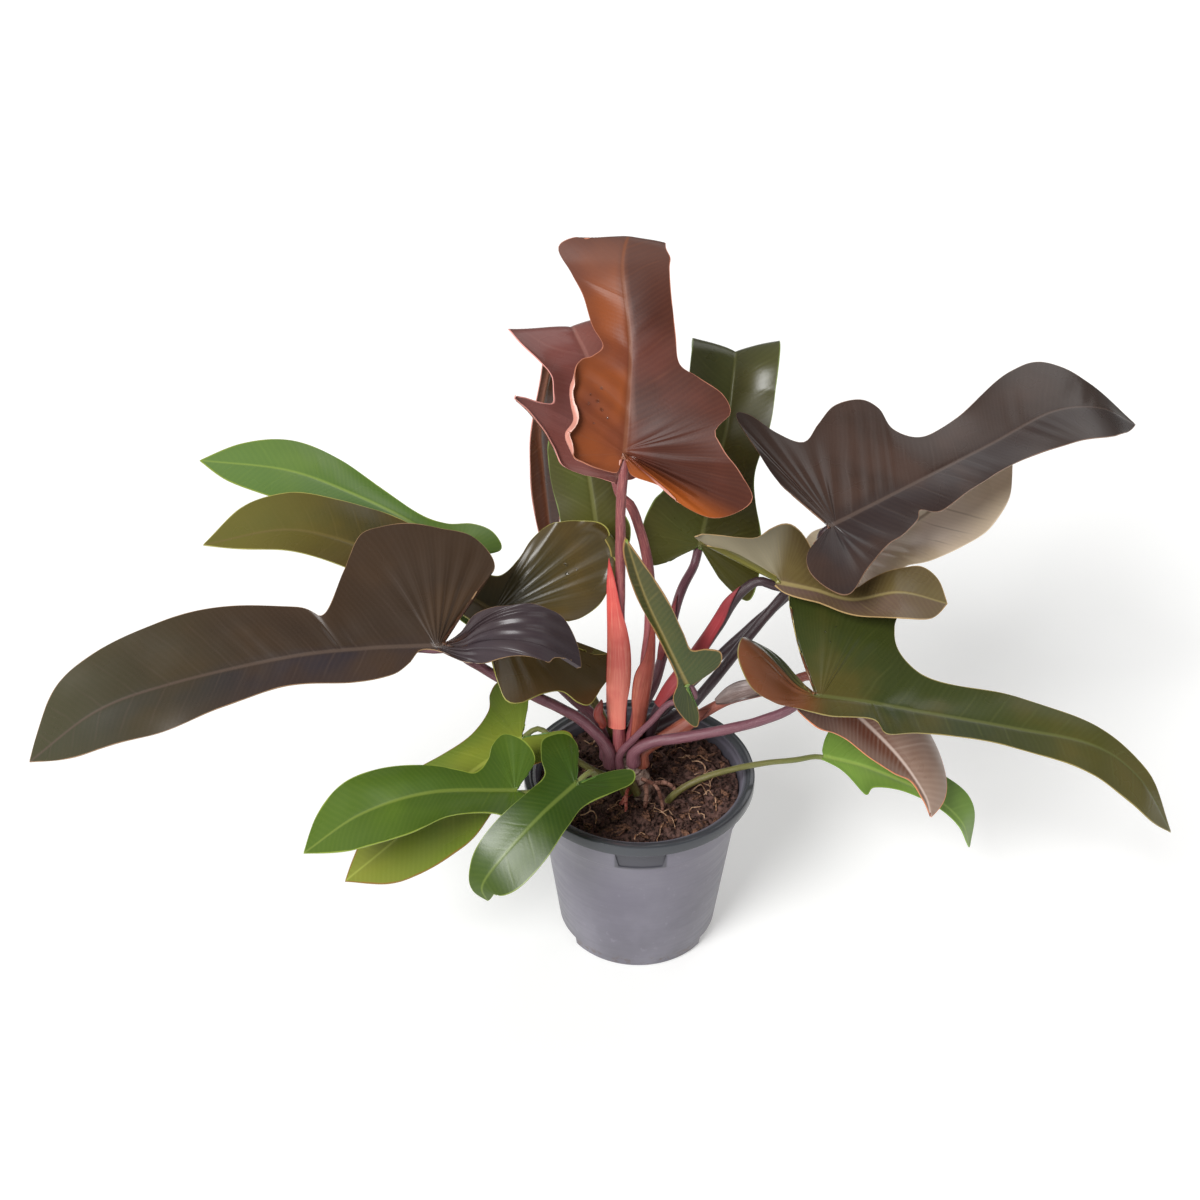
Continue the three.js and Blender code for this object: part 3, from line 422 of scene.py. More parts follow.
def strew(name, count, seed, sizes, flatness):
    """One mesh of many crumbs that lie on the soil"""
    chance = np.random.default_rng(seed)
    points, faces = [], []
    while len(points) < count:
        reach, turn = (LOOSE_REACH + 1) * math.sqrt(chance.random()), 2 * math.pi * chance.random()
        x, y = reach * math.cos(turn), reach * math.sin(turn)
        spin = np.linalg.qr(chance.normal(size=(3, 3)))[0]
        size = chance.uniform(*sizes) * np.array([1.0, chance.uniform(0.35, 0.8), flatness])
        lumps = crumb_points * (1 + 0.28 * chance.normal(size=(len(crumb_points), 1)))
        placed = (lumps * size) @ (np.eye(3) + 0.45 * spin).T
        if from_stem(x, y) > 11 and reach + size[0] <= LOOSE_REACH:
            faces.append(crumb_faces + len(crumb_points) * len(points))
            points.append(placed + [x, y, soil_height(x, y) + 0.3 * size[0]])
    mesh = bpy.data.meshes.new(name)
    mesh.from_pydata((np.concatenate(points) * MM).tolist(), [], np.concatenate(faces).tolist())
    piece = bpy.data.objects.new(name, mesh)
    bpy.context.collection.objects.link(piece)
    bpy.ops.object.select_all(action="DESELECT")
    piece.select_set(True)
    bpy.context.view_layer.objects.active = piece
    bpy.ops.object.mode_set(mode="EDIT")
    face_outwards()
    return piece


dress(strew("peat_crumbs", 480, 11, (1.5, 4.0), 0.7),
      "peat_crumbs", peat_finish("dark_peat", "281c18", "60463e", 420.0), "soil")
dress(strew("coconut_chips", 130, 23, (2.4, 6.0), 0.3),
      "coconut_chips", peat_finish("coconut_husk", "3e281c", "8a6450", 500.0), "soil")


# Stem: short, thick and woody, with rings where old leaves stood. It leans a little, stands in the soil
# and carries all the stalks at its top. Like the roots and stalks it begins as a straight bar that is
# cut into short lengths and laid along its line.
STEM_LINE = [(6, -8, 116), (0, -7, 136), (-10, -6, 159), (-10, -6, 172)]
STEM_RADIUS = 9.5
STEM_RINGS = 7
ROUNDED_END = ((0.12, 0.25), (0.45, 0.72), (0.8, 0.95))


def gone_along(line):
    """How far along a line each of its points is"""
    return np.concatenate([[0], np.cumsum(np.linalg.norm(np.diff(line, axis=0), axis=1))])


def at_distances(where, gone, line):
    """The places on a line at the given distances along it"""
    return np.stack([np.interp(where, gone, line[:, k]) for k in range(line.shape[1])], -1)


def steered(points):
    """The points, and one more beyond each end that steers a curve"""
    p = np.array(points, float)
    return np.vstack([2 * p[0] - p[1], p, 2 * p[-1] - p[-2]])


def smooth_line(points, step):
    """A smooth line through points, evenly stationed: the points and the distances along it"""
    p = steered(points)
    fine = []
    for a, b, c, d in zip(p, p[1:], p[2:], p[3:]):
        first, middle, last = (max(math.sqrt(np.linalg.norm(v)), 1e-3) for v in (b - a, c - b, d - c))
        leave = middle * ((b - a) / first - (c - a) / (first + middle) + (c - b) / middle)
        reach = middle * ((c - b) / middle - (d - b) / (middle + last) + (d - c) / last)
        t = np.linspace(0, 1, 24, endpoint=False)[:, None]
        fine.append(b + leave * t + (3 * (c - b) - 2 * leave - reach) * t ** 2
                    + (2 * (b - c) + leave + reach) * t ** 3)
    fine = np.vstack([*fine, p[-2:-1]])
    gone = gone_along(fine)
    even = np.linspace(0, gone[-1], max(4, round(gone[-1] / step)) + 1)
    return at_distances(even, gone, fine), even


def carried_along(line, start):
    """The directions along a line, and one across it that is carried along without a twist"""
    along = np.gradient(line, axis=0)
    along /= np.linalg.norm(along, axis=1)[:, None]
    across = [np.array(start, float)]
    for direction in along:
        square = across[-1] - direction * (across[-1] @ direction)
        across.append(square / np.linalg.norm(square))
    return along, np.array(across[1:])


def store(mesh, name, values):
    """Keeps a number for each point of the mesh, for its finish to read"""
    mesh.attributes.new(name, "FLOAT", "POINT").data.foreach_set("value", values.astype(np.float32))


def stored(tree, *names):
    """The numbers that the mesh keeps under these names"""
    return [place_node(tree, "ShaderNodeAttribute", {"attribute_name": name}).outputs["Fac"]
            for name in names]


def corner_places(mesh):
    """The places of all the mesh's points"""
    places = np.zeros(len(mesh.vertices) * 3)
    mesh.vertices.foreach_get("co", places)
    return places.reshape(-1, 3)


def cut_bar(sides, steps):
    """A straight bar cut across into equal lengths"""
    bpy.ops.object.select_all(action="DESELECT")
    bpy.ops.mesh.primitive_cylinder_add(vertices=sides, radius=1, depth=steps, end_fill_type="NGON",
                                        calc_uvs=False)
    bar = bpy.context.object
    bpy.ops.object.mode_set(mode="EDIT")
    bpy.ops.mesh.select_all(action="DESELECT")
    bpy.ops.mesh.select_mode(type="EDGE")
    bpy.ops.object.mode_set(mode="OBJECT")
    for edge in bar.data.edges:
        low, high = (bar.data.vertices[k].co for k in edge.vertices)
        edge.select = abs(low.z - high.z) > steps / 2
    bpy.ops.object.mode_set(mode="EDIT")
    bpy.ops.mesh.subdivide(number_cuts=steps - 1)
    bpy.ops.object.mode_set(mode="OBJECT")
    return bar


def lay_rod(line, radii, sides, ripple=0.0, seed=0):
    """A bar along a line, with a radius at each station and rounded ends"""
    line, radii = np.array(line, float), np.array(radii, float)
    start, end = line[1] - line[0], line[-1] - line[-2]
    start, end = start / np.linalg.norm(start), end / np.linalg.norm(end)
    line = np.vstack([*(line[0] - start * radii[0] * (0.6 - 0.6 * a) for a, _ in ROUNDED_END), line,
                      *(line[-1] + end * radii[-1] * (0.6 - 0.6 * a) for a, _ in ROUNDED_END[::-1])])
    radii = np.concatenate([[radii[0] * b for _, b in ROUNDED_END], radii,
                            [radii[-1] * b for _, b in ROUNDED_END[::-1]]])
    steps = len(line) - 1
    rod = cut_bar(sides, steps)
    place = corner_places(rod.data)
    station = np.clip(np.round(place[:, 2] + steps / 2).astype(int), 0, steps)
    along, side = carried_along(line, np.cross(start, (0.31, 0.42, 0.85)))
    other = np.cross(along, side)
    turn = np.arctan2(place[:, 1], place[:, 0])
    chance = np.random.default_rng(seed)
    swell = 1 + ripple * sum(np.cos(k * turn + chance.uniform(0, 6.3) + 0.35 * k * station)
                             for k in (1, 2, 3))
    out = radii[station] * swell
    place = (line[station] + side[station] * (out * np.cos(turn))[:, None]
             + other[station] * (out * np.sin(turn))[:, None])
    rod.data.vertices.foreach_set("co", (place * MM).ravel())
    gone = gone_along(line)
    store(rod.data, "part", (gone / gone[-1])[station])
    store(rod.data, "length_mm", gone[station])
    store(rod.data, "turn", np.cos(turn))
    rod.data.update()
    bpy.ops.object.shade_smooth_by_angle(angle=math.radians(60))
    return rod


def plus(tree, value, other, share):
    """A value with a share of another added"""
    return reckon(tree, "ADD", value, times(tree, other, share))


def bark_finish(name, dark, light, scar):
    """Dull bark with rings and small cracks"""
    material, tree, surface = new_finish(name, Specular_IOR_Level=0.3)
    part, = stored(tree, "part")
    knots = grain(tree, on_piece(tree), 190.0, 4.0, 0.65)
    rings = reckon(tree, "PINGPONG", times(tree, part, STEM_RINGS), 0.5)
    rings = ease(tree, plus(tree, rings, knots, 0.15), 0.05, 0.2)
    colour = blend_colours(tree, ease(tree, knots, 0.35, 0.65), dark, light)
    colour = blend_colours(tree, rings, scar, colour)
    coat_surface(tree, surface, colour, ease(tree, knots, 0.2, 0.8, 0.8, 0.6),
                 plus(tree, knots, rings, 0.6), 0.0008, 0.8)
    return material


line, gone = smooth_line(STEM_LINE, 1.0)
radii = STEM_RADIUS - 0.5 + 0.7 * np.abs(np.cos(math.pi * STEM_RINGS * gone / gone[-1])) ** 3
dress(lay_rod(line, radii, 40, 0.015, 5), "leaning_stem",
      bark_finish("grey_bark", "806258", "d2b8aa", "4e362e"), "stem", "stem")


# Aerial roots: finger-long, from the stem into the soil. The older three are brown and the two youngest
# still pink.
AERIAL_ROOTS = {
    "root_left": (1.7, [(0, -9, 133), (-10, -18, 132), (-14, -23, 127), (-15, -24, 121)]),
    "root_front": (1.7, [(4, -9, 140), (5, -22, 138), (4, -27, 131), (4, -28, 121)]),
    "root_right": (1.7, [(8, -5, 134), (20, -7, 136), (27, -9, 130), (28, -10, 121)]),
    "root_low": (1.25, [(-4, -12, 139), (-9, -22, 141), (-10, -31, 134), (-9, -36, 123)]),
    "root_thin": (1.25, [(2, -14, 146), (12, -24, 147), (16, -31, 137), (17, -33, 123)]),
}
root_skin = bark_finish("root_skin", "6d4438", "b98a78", "59382d")
young_root_skin = bark_finish("young_root_skin", "b0483e", "e88e80", "8a302c")
for seed, (name, (radius, points)) in enumerate(AERIAL_ROOTS.items()):
    line, gone = smooth_line(points, 1.2)
    dress(lay_rod(line, radius * (1.15 - 0.35 * gone / gone[-1]), 14, 0.05, seed), name,
          young_root_skin if name in ("root_low", "root_left") else root_skin, "stem")


# Fibres: pale curly threads of coconut husk. They lie loose on the soil, each with its ends on it and
# its middle arched up.
FIBRE_COUNT = 46
FIBRE_RISE = 5.0


def join_pieces(pieces):
    """Makes one piece of several"""
    bpy.ops.object.select_all(action="DESELECT")
    for piece in pieces:
        piece.select_set(True)
    bpy.context.view_layer.objects.active = pieces[0]
    bpy.ops.object.join()
    return pieces[0]


chance = np.random.default_rng(5)
fibres = []
while len(fibres) < FIBRE_COUNT:
    x, y = chance.uniform(-62, 62, 2)
    if math.hypot(x, y) > 62 or from_stem(x, y) < 15:
        continue
    turn, length = chance.uniform(0, 2 * math.pi), chance.uniform(8, 24)
    line = []
    for step in np.linspace(0, 1, 6):
        if math.hypot(x, y) > 70:
            break
        rise = FIBRE_RISE * math.sin(math.pi * step) * chance.uniform(0.3, 1)
        line.append((x, y, soil_height(x, y) + 0.4 + rise))
        turn += chance.normal(0, 0.6)
        x, y = x + length / 5 * math.cos(turn), y + length / 5 * math.sin(turn)
    if len(line) == 6:
        thread = smooth_line(line, 2.5)[0]
        fibres.append(lay_rod(thread, np.full(len(thread), chance.uniform(0.3, 0.55)), 6, 0.0, 1))
dress(join_pieces(fibres), "coconut_fibres",
      peat_finish("pale_fibre", "8a5c40", "d8b090", 300.0), "soil")


# Crown leaf: the newest grown leaf, held upright on a long stalk in the middle of the plant. Its blade
# is glossy bronze with a pink rim, and like all the blades it is one thin sheet stiffened by its midrib.
LEFT, RIGHT = "left", "right"
SIDES = {LEFT: -1, RIGHT: 1}
BLADE_THICKNESS = 0.8
MIDRIB_DEPTH = 1.6
MIDRIB_WIDTH = 1.8
HALF_COLUMNS = 18
ROW_WIDTH = 3.4
VEIN_WIDTH = 20.0
VEIN_SLANT = 0.7
STATIONS = 160
OUTLINE_STEPS = 20


def curve_through(p, steps):
    """A curve through the points; the first and the last only steer it"""
    t = np.linspace(0, 1, steps, endpoint=False)[:, None]
    fine = [0.5 * (2 * b + (c - a) * t + (2 * a - 5 * b + 4 * c - d) * t ** 2
                   + (-a + 3 * b - 3 * c + d) * t ** 3) for a, b, c, d in zip(p, p[1:], p[2:], p[3:])]
    return np.vstack([*fine, p[-2:-1]])


def lay_midrib(points, face):
    """The midrib's line with the blade's directions along it, at even stations"""
    fine = curve_through(steered(points), 60)
    gone = gone_along(fine)
    even = np.linspace(0, gone[-1], STATIONS + 1)
    place = at_distances(even, gone, fine)
    along, up = carried_along(place, face)
    return {"length": gone[-1], "even": even, "place": place, "along": along, "up": up,
            "across": np.cross(along, up)}


def on_midrib(spine, what, distance):
    """The midrib's place or direction at a distance from the stalk"""
    return at_distances(distance, spine["even"], spine[what])


def value_at(values, part):
    """A value between evenly stationed ones"""
    return np.interp(part, np.linspace(0, 1, len(values)), values)


def bend_half(spine, side, along, out, fold=(0, 0), curl=(0, 0), nape=(0, 0)):
    """Carries flat places on one half of a blade to their places in space. In degrees, fold is its
    angle at the midrib, curl its bend over 100 mm outwards and nape the lobe's bend behind the stalk"""
    length = spine["length"]
    reach = np.linspace(0, 0.6 * length, 300)
    slope = np.radians(value_at(nape, reach / (0.3 * length)))
    halfway = (slope[1:] + slope[:-1]) / 2
    back, rise = (np.concatenate([[0], np.cumsum(way(halfway) * reach[1])]) for way in (np.cos, np.sin))
    behind = np.clip(-along, 0, None)
    lean = np.interp(behind, reach, slope)[..., None]
    direction, up = on_midrib(spine, "along", along), on_midrib(spine, "up", along)
    place = (on_midrib(spine, "place", along) - np.interp(behind, reach, back)[..., None] * direction
             + np.interp(behind, reach, rise)[..., None] * up)
    up = up * np.cos(lean) + direction * np.sin(lean)
    part = (along / length + 0.25) / 1.25
    start = np.radians(value_at(fold, part))
    turn = np.radians(value_at(curl, part)) / 100
    turn = np.where(np.abs(turn) < 1e-7, 1e-7, turn)
    wide = (np.sin(start + turn * out) - np.sin(start)) / turn
    high = (np.cos(start) - np.cos(start + turn * out)) / turn
    return place + side * wide[..., None] * on_midrib(spine, "across", along) + high[..., None] * up


def trace_outline(outline, length):
    """A half's outline as a smooth line, with how far it has gone and where its ribs leave the midrib"""
    p = np.array([*outline, (length, 0)], float)
    fine = curve_through(np.vstack([p[0], p, p[-1]]), OUTLINE_STEPS)
    gone = gone_along(fine)
    foot = np.maximum.accumulate(np.clip(fine[:, 0] - VEIN_SLANT * np.abs(fine[:, 1]), 0, length))
    foot = foot + 0.03 * gone
    return fine, gone, foot * length / foot[-1]


def ripples(where, seed, count=5, slow=0.035, fast=0.12):
    """A gentle, never repeating wave over a length in millimetres, about 1 high"""
    chance = np.random.default_rng(seed)
    return sum(np.sin(chance.uniform(slow, fast) * where + chance.uniform(0, 6.3))
               for _ in range(count)) / math.sqrt(count)


def rolled_share(run, marks, first, last):
    """How much of a roll is there: none at two points of the outline, all of it between them"""
    start, end = marks[first], marks[last]
    amount = np.clip(np.minimum(run - start, end - run) / (0.35 * (end - start)), 0, 1)
    return amount * amount * (3 - 2 * amount)


def lengthen_ribs(edge, feet, amount, width, angle):
    """Lets the outline out by what a roll takes in, so that the leaf keeps its size"""
    arc = math.radians(abs(angle))
    longer = amount * width * (1 - math.sin(min(arc, math.pi / 2)) / arc)
    outward = np.stack([edge[:, 0] - feet, edge[:, 1]], 1)
    outward /= np.maximum(np.linalg.norm(outward, axis=1), 1)[:, None]
    edge += outward * longer[:, None]


def roll_margin(rows, amount, width, angle):
    """Turns the last width of each rib up and over"""
    ahead = np.gradient(rows[:, -1], axis=0)
    for k in np.nonzero(amount > 0)[0]:
        steps = np.diff(rows[k], axis=0)
        lengths = np.linalg.norm(steps, axis=1)
        inward = np.cumsum(lengths[::-1])[::-1] - lengths / 2
        turn = np.radians(angle) * amount[k] * np.clip(1 - inward / width, 0, 1)
        axis = ahead[k] / max(np.linalg.norm(ahead[k]), 1e-6)
        along = (steps @ axis)[:, None] * axis
        steps = (along + (steps - along) * np.cos(turn)[:, None]
                 + np.cross(axis, steps) * np.sin(turn)[:, None])
        rows[k, 1:] = rows[k, 0] + np.cumsum(steps, axis=0)


def spread_out(column):
    """How far out on its rib a column lies, from 0 to 1; they stand closer towards the margin"""
    share = column / HALF_COLUMNS
    return share * (1.3 - 0.3 * share)


def give_thickness(piece, deep):
    """Welds the sheet's points at its tips and gives it a wall, with its depth in mm at each point"""
    deepest = deep.max()
    group = piece.vertex_groups.new(name="thickness")
    for index, value in enumerate(deep / deepest):
        group.add([index], float(value), "REPLACE")
    apply_modifier(piece, "WELD", merge_threshold=0.02 * MM)
    piece.data.materials.append(None)
    piece.data.materials.append(None)
    apply_modifier(piece, "SOLIDIFY", thickness=deepest * MM, offset=-1, vertex_group="thickness",
                   material_offset=1)
    piece.vertex_groups.clear()
    bpy.ops.object.shade_smooth_by_angle(angle=math.radians(60))


def press_blade(midrib, face, left, right, fold=None, curl=None, nape=None, rolls=(), seed=0, quilt=0.3,
                ruffle=0.7, rib=MIDRIB_DEPTH, thickness=BLADE_THICKNESS, row_width=ROW_WIDTH):
    """A sheet is cut to the leaf's outline, bent to its form, quilted between its veins and thickened"""
    spine = lay_midrib(midrib, face)
    length = spine["length"]
    edges = {LEFT: trace_outline(left, length), RIGHT: trace_outline(right, length)}
    stations = np.unique(np.concatenate([edges[LEFT][2], edges[RIGHT][2]]))
    total = sum(np.interp(stations, foot, gone) for _, gone, foot in edges.values())
    rows = max(12, round(total[-1] / row_width))
    feet = np.interp(np.linspace(0, total[-1], rows + 1), total, stations)
    bpy.ops.object.select_all(action="DESELECT")
    bpy.ops.mesh.primitive_grid_add(x_subdivisions=rows, y_subdivisions=2 * HALF_COLUMNS, size=2)
    piece = bpy.context.object
    mesh = piece.data
    flat = corner_places(mesh)
    row = np.round((flat[:, 0] + 1) / 2 * rows).astype(int)
    column = np.round(-flat[:, 1] * HALF_COLUMNS).astype(int)
    grid = np.zeros((rows + 1, 2 * HALF_COLUMNS + 1, 3))
    relief, margin, out_mm, part, half_share = (np.zeros(grid.shape[:2]) for _ in range(5))
    veins = {}
    for half, side in SIDES.items():
        fine, gone, foot = edges[half]
        run = np.interp(feet, foot, gone)
        edge = at_distances(run, gone, fine)
        turned = [(rolled_share(run, gone[::OUTLINE_STEPS], first, last), width, angle)
                  for rolled, first, last, width, angle in rolls if rolled == half]
        for roll in turned:
            lengthen_ribs(edge, feet, *roll)
        steps = np.arange(HALF_COLUMNS + 1)
        spread = spread_out(steps)
        along = feet[:, None] + (edge[:, :1] - feet[:, None]) * spread
        out = edge[:, 1:] * spread
        bends = {name: (table or {}).get(half, (0, 0))
                 for name, table in (("fold", fold), ("curl", curl), ("nape", nape))}
        ribs = bend_half(spine, side, along, out, **bends)
        for amount, width, angle in turned:
            roll_margin(ribs, amount, width, -side * angle)
        where = (slice(None), HALF_COLUMNS + side * steps)
        grid[where] = ribs

        # The relief: folds fanned between the veins, a ruffled margin and a soft swell over the whole
        half_seed = 4 * seed + side
        rib_run = np.hypot(edge[:, 0] - feet, edge[:, 1])[:, None]
        reach = np.clip(rib_run / 40, 0, 1)
        veins[half] = run / VEIN_WIDTH + (0.5 if side > 0 else 0.0)
        uneven = veins[half] + 0.5 * ripples(run, half_seed + 51, 3, 0.03, 0.09)
        strength = 0.6 + 0.5 * ripples(run, half_seed + 71, 3, 0.01, 0.04)[:, None]
        lobe = np.clip((0.3 - along / length) / 0.35, 0, 1)
        fullness = np.sin(math.pi * np.clip(spread, 0, 1) ** 0.7) ** 0.7
        folds = fullness * np.cos(2 * math.pi * uneven)[:, None]
        frill = ripples(run, half_seed + 1)[:, None] * spread ** 3
        swell = 1.4 * ripples(run, half_seed + 101, 4, 0.02, 0.05)[:, None] * np.sin(math.pi * spread)
        relief[where] = reach * (quilt * (0.22 + 0.78 * lobe) * strength * folds + ruffle * (frill + swell))
        margin[where] = (1 - spread) * rib_run
        out_mm[where] = np.abs(out) + 0.4 * np.clip(-along, 0, None)
        part[where] = along / length
        half_share[where] = 0.5 + 0.5 * side * np.clip(steps / 2, 0, 1)
    up = np.cross(np.gradient(grid, axis=1), np.gradient(grid, axis=0))
    size = np.linalg.norm(up, axis=2)
    up = np.where(size[..., None] > 1e-6, up / np.maximum(size, 1e-9)[..., None], 0)
    rib_shape = np.exp(-(out_mm / MIDRIB_WIDTH) ** 2) * np.clip(1.15 - part, 0, 1) * (part >= -0.01)
    grid += up * (relief + thickness / 2 - 0.35 * rib_shape)[..., None]
    pick = (row, column + HALF_COLUMNS)
    mesh.vertices.foreach_set("co", (grid[pick] * MM).ravel())
    for name, values in (("margin", margin), ("out", out_mm), ("part", part), ("half", half_share)):
        store(mesh, name, values[pick])
    corners = np.zeros(len(mesh.loops), int)
    mesh.loops.foreach_get("vertex_index", corners)
    halfway = column[corners].reshape(-1, 4).mean(1).repeat(4)
    run = np.where(halfway < 0, veins[LEFT][row[corners]], veins[RIGHT][row[corners]])
    places = np.stack([run, spread_out(np.abs(column[corners]))], 1).astype(np.float32)
    mesh.uv_layers[0].name = "blade"
    mesh.uv_layers[0].data.foreach_set("uv", places.ravel())
    mesh.update()
    give_thickness(piece, thickness + rib * rib_shape[pick])
    return piece


def on_blade(tree):
    """Where a place is on its blade: how far round the outline, and how far out on its rib"""
    flat = place_node(tree, "ShaderNodeUVMap", {"uv_map": "blade"}).outputs[0]
    return place_node(tree, "ShaderNodeSeparateXYZ", Vector=flat).outputs


BLADE_COLOURS = ("Main", "Other", "Cloud", "Outer", "Tip", "Vein", "Rim", "Lobe")
BLADE_SHARES = ("Outer Share", "Tip Share", "Vein Share", "Rim Width", "Lobe Half", "Lobe From",
                "Lobe To", "Lobe Share")


def blade_pattern():
    """The pattern of a blade: its two halves, clouds, outer part, tip, veins, midrib and rim"""
    tree = bpy.data.node_groups.new("blade_pattern", "ShaderNodeTree")
    for names, way, kind in ((BLADE_COLOURS, "INPUT", "Color"), (BLADE_SHARES, "INPUT", "Float"),
                             (["Colour"], "OUTPUT", "Color"), (["Roughness", "Height"], "OUTPUT", "Float")):
        for name in names:
            tree.interface.new_socket(name, in_out=way, socket_type="NodeSocket" + kind)
    given = tree.nodes.new("NodeGroupInput").outputs
    where = on_piece(tree)
    outline, span, _ = on_blade(tree)
    margin, out, part, half = stored(tree, "margin", "out", "part", "half")
    drift = reckon(tree, "SUBTRACT", grain(tree, where, 11.0, 3.0), 0.5)
    run = plus(tree, outline, drift, 0.9)
    vein = times(tree, fade(tree, reckon(tree, "PINGPONG", run, 0.5), 0.0, 0.07),
                 fade(tree, span, 0.6, 0.95), ease(tree, grain(tree, where, 15.0), 0.42, 0.62))
    thread = fade(tree, reckon(tree, "PINGPONG", times(tree, run, 5.0), 0.5), 0.04, 0.4)
    midrib = fade(tree, plus(tree, out, part, 0.9), 0.7, 2.3)
    rim_reach = times(tree, given["Rim Width"], ease(tree, grain(tree, where, 45.0), 0.3, 0.7, 0.4, 1.6))
    rim = fade(tree, reckon(tree, "DIVIDE", margin, rim_reach), 0.35, 1.1)
    outer = reckon(tree, "MULTIPLY", ease(tree, plus(tree, span, drift, 0.9), 0.35, 1.0),
                   given["Outer Share"], True)
    tip = reckon(tree, "MULTIPLY", ease(tree, plus(tree, part, drift, 0.3), 0.3, 1.0),
                 given["Tip Share"], True)
    other_half = reckon(tree, "ABSOLUTE", reckon(tree, "SUBTRACT", half, given["Lobe Half"]))
    past_from, past_to = (reckon(tree, "SUBTRACT", outline, given[name])
                          for name in ("Lobe From", "Lobe To"))
    lobe = times(tree, reckon(tree, "SUBTRACT", 1.0, other_half),
                 fade(tree, plus(tree, part, drift, 0.15), -0.08, 0.04),
                 ease(tree, past_from, -0.3, 0.3), fade(tree, past_to, -0.8, 0.8), given["Lobe Share"])
    clouds = ease(tree, grain(tree, where, 17.0, 3.0), 0.42, 0.66, 0.0, 0.7)
    colour = paint_over(
        tree, blend_colours(tree, half, given["Main"], given["Other"]), (clouds, given["Cloud"]),
        (outer, given["Outer"]), (lobe, given["Lobe"]), (tip, given["Tip"]),
        (times(tree, thread, 0.06), given["Vein"]), (times(tree, vein, given["Vein Share"]), given["Vein"]),
        (times(tree, midrib, 0.75), given["Vein"]), (rim, given["Rim"]))
    roughness = ease(tree, grain(tree, where, 26.0, 3.0), 0.3, 0.75, 0.25, 0.37)
    height = times(tree, grain(tree, where, 700.0), 0.3)
    for groove, depth in ((vein, 0.25), (thread, 0.06), (midrib, 0.8)):
        height = plus(tree, height, groove, -depth)
    result = tree.nodes.new("NodeGroupOutput")
    for socket, value in zip(result.inputs, (colour, roughness, height)):
        tree.links.new(value, socket)
    return tree


BLADE_PATTERN = blade_pattern()
SUNKEN_VEINS = 0.0003
RAISED_VEINS = -0.0006


def blade_finish(name, chips, outer=0.5, tip=0.5, vein=0.15, rim=0.8, lobe=None, veins=SUNKEN_VEINS,
                 gloss=0.42):
    """One face of a blade. The chips are its left half, right half, clouds, outer part, tip, veins and
    rim; a lobe has its own colour, half, start and end in veins round the outline, and share"""
    material, tree, surface = new_finish(name, Specular_IOR_Level=gloss)
    pattern = place_node(tree, "ShaderNodeGroup", {"node_tree": BLADE_PATTERN})
    chip, *lobe_shares = lobe or ("000000", 0, 0, 0, 0)
    for socket, value in zip(BLADE_COLOURS + BLADE_SHARES,
                             (*chips.split(), chip, outer, tip, vein, rim, *lobe_shares)):
        feed(tree, pattern.inputs[socket], value)
    coat_surface(tree, surface, *pattern.outputs, veins, 0.4)
    return material


def stem_centre(height):
    """Where the stem's middle is at a height"""
    line = np.array(STEM_LINE, float)
    return at_distances(height, line[:, 2], line)


STALK_RADII = {False: (4.2, 3.2), True: (2.6, 1.9)}
STALK_SEAT = 12
STALK_END = 6
# Under the midrib a stalk runs out in steps: how far on, how deep for its radius, its gap, how thick
STALK_RUNOUT = ((20.0, 0.8, 0.7, 0.78), (30.0, 0.55, 0.6, 0.52), (40.0, 0.3, 0.6, 0.3))
STALK_LINES = {}


def draw_stalk(name, spine, stalk, seat=None, approach=14, thin=False):
    """From the stem, in a curve, to the underside of the blade, where it runs out into the midrib.
    The seat is the angle round the stem and the height where it begins"""
    wide, narrow = STALK_RADII[thin]
    tip, along, up = (on_midrib(spine, what, 0.0) for what in ("place", "along", "up"))
    below = tip - up * (narrow + 1.1)
    points = [list(point) for point in stalk]
    if seat:
        turn, height = math.radians(seat[0]), seat[1]
        away = np.array([math.cos(turn), math.sin(turn), 0])
        reach = STEM_RADIUS + 0.5 + wide
        top = stem_centre(min(height + STALK_SEAT, STEM_LINE[-1][2])) + away * (reach + 1)
        points = [list(stem_centre(height) + away * reach), [top[0], top[1], height + STALK_SEAT], *points]
    points += [list(below - along * approach), list(below + along * STALK_END)]
    line, gone = smooth_line(points, 4.0)
    radii = wide + (narrow - wide) * gone / gone[-1]
    radii = radii * (1 + 0.3 * np.exp(-gone / 14)) * (1 + 0.1 * np.exp(-((gone[-1] - gone) / 9) ** 2))
    for distance, depth, gap, thickness in STALK_RUNOUT:
        under = on_midrib(spine, "up", distance) * (narrow * depth + gap)
        line = np.vstack([line, on_midrib(spine, "place", distance) - under])
        radii = np.append(radii, narrow * thickness)
    STALK_LINES[name] = (line, radii)
    return lay_rod(line, radii, 18, 0.02, len(name))


def lengthwise(tree, around, along, scale):
    """Streaks that run along a stalk or a sheath"""
    lines = place_node(tree, "ShaderNodeCombineXYZ", X=around, Y=along).outputs[0]
    return grain(tree, lines, scale, 4.0, 0.6)


def stalk_finish(name, low, high, streak):
    """Smooth stalk skin that changes colour along its length, with fine lengthwise streaks"""
    material, tree, surface = new_finish(name, Specular_IOR_Level=0.5)
    part, run, turn = stored(tree, "part", "length_mm", "turn")
    streaks = lengthwise(tree, times(tree, turn, 9.0), times(tree, run, 0.05), 1.6)
    dots = ease(tree, grain(tree, on_piece(tree), 900.0, 1.0), 0.62, 0.72)
    colour = paint_over(tree, blend_colours(tree, ease(tree, part, 0.15, 0.95), low, high),
                        (ease(tree, streaks, 0.42, 0.72), streak), (times(tree, dots, 0.4), streak))
    coat_surface(tree, surface, colour, ease(tree, streaks, 0.2, 0.8, 0.32, 0.45), streaks, 0.0004, 0.5)
    return material


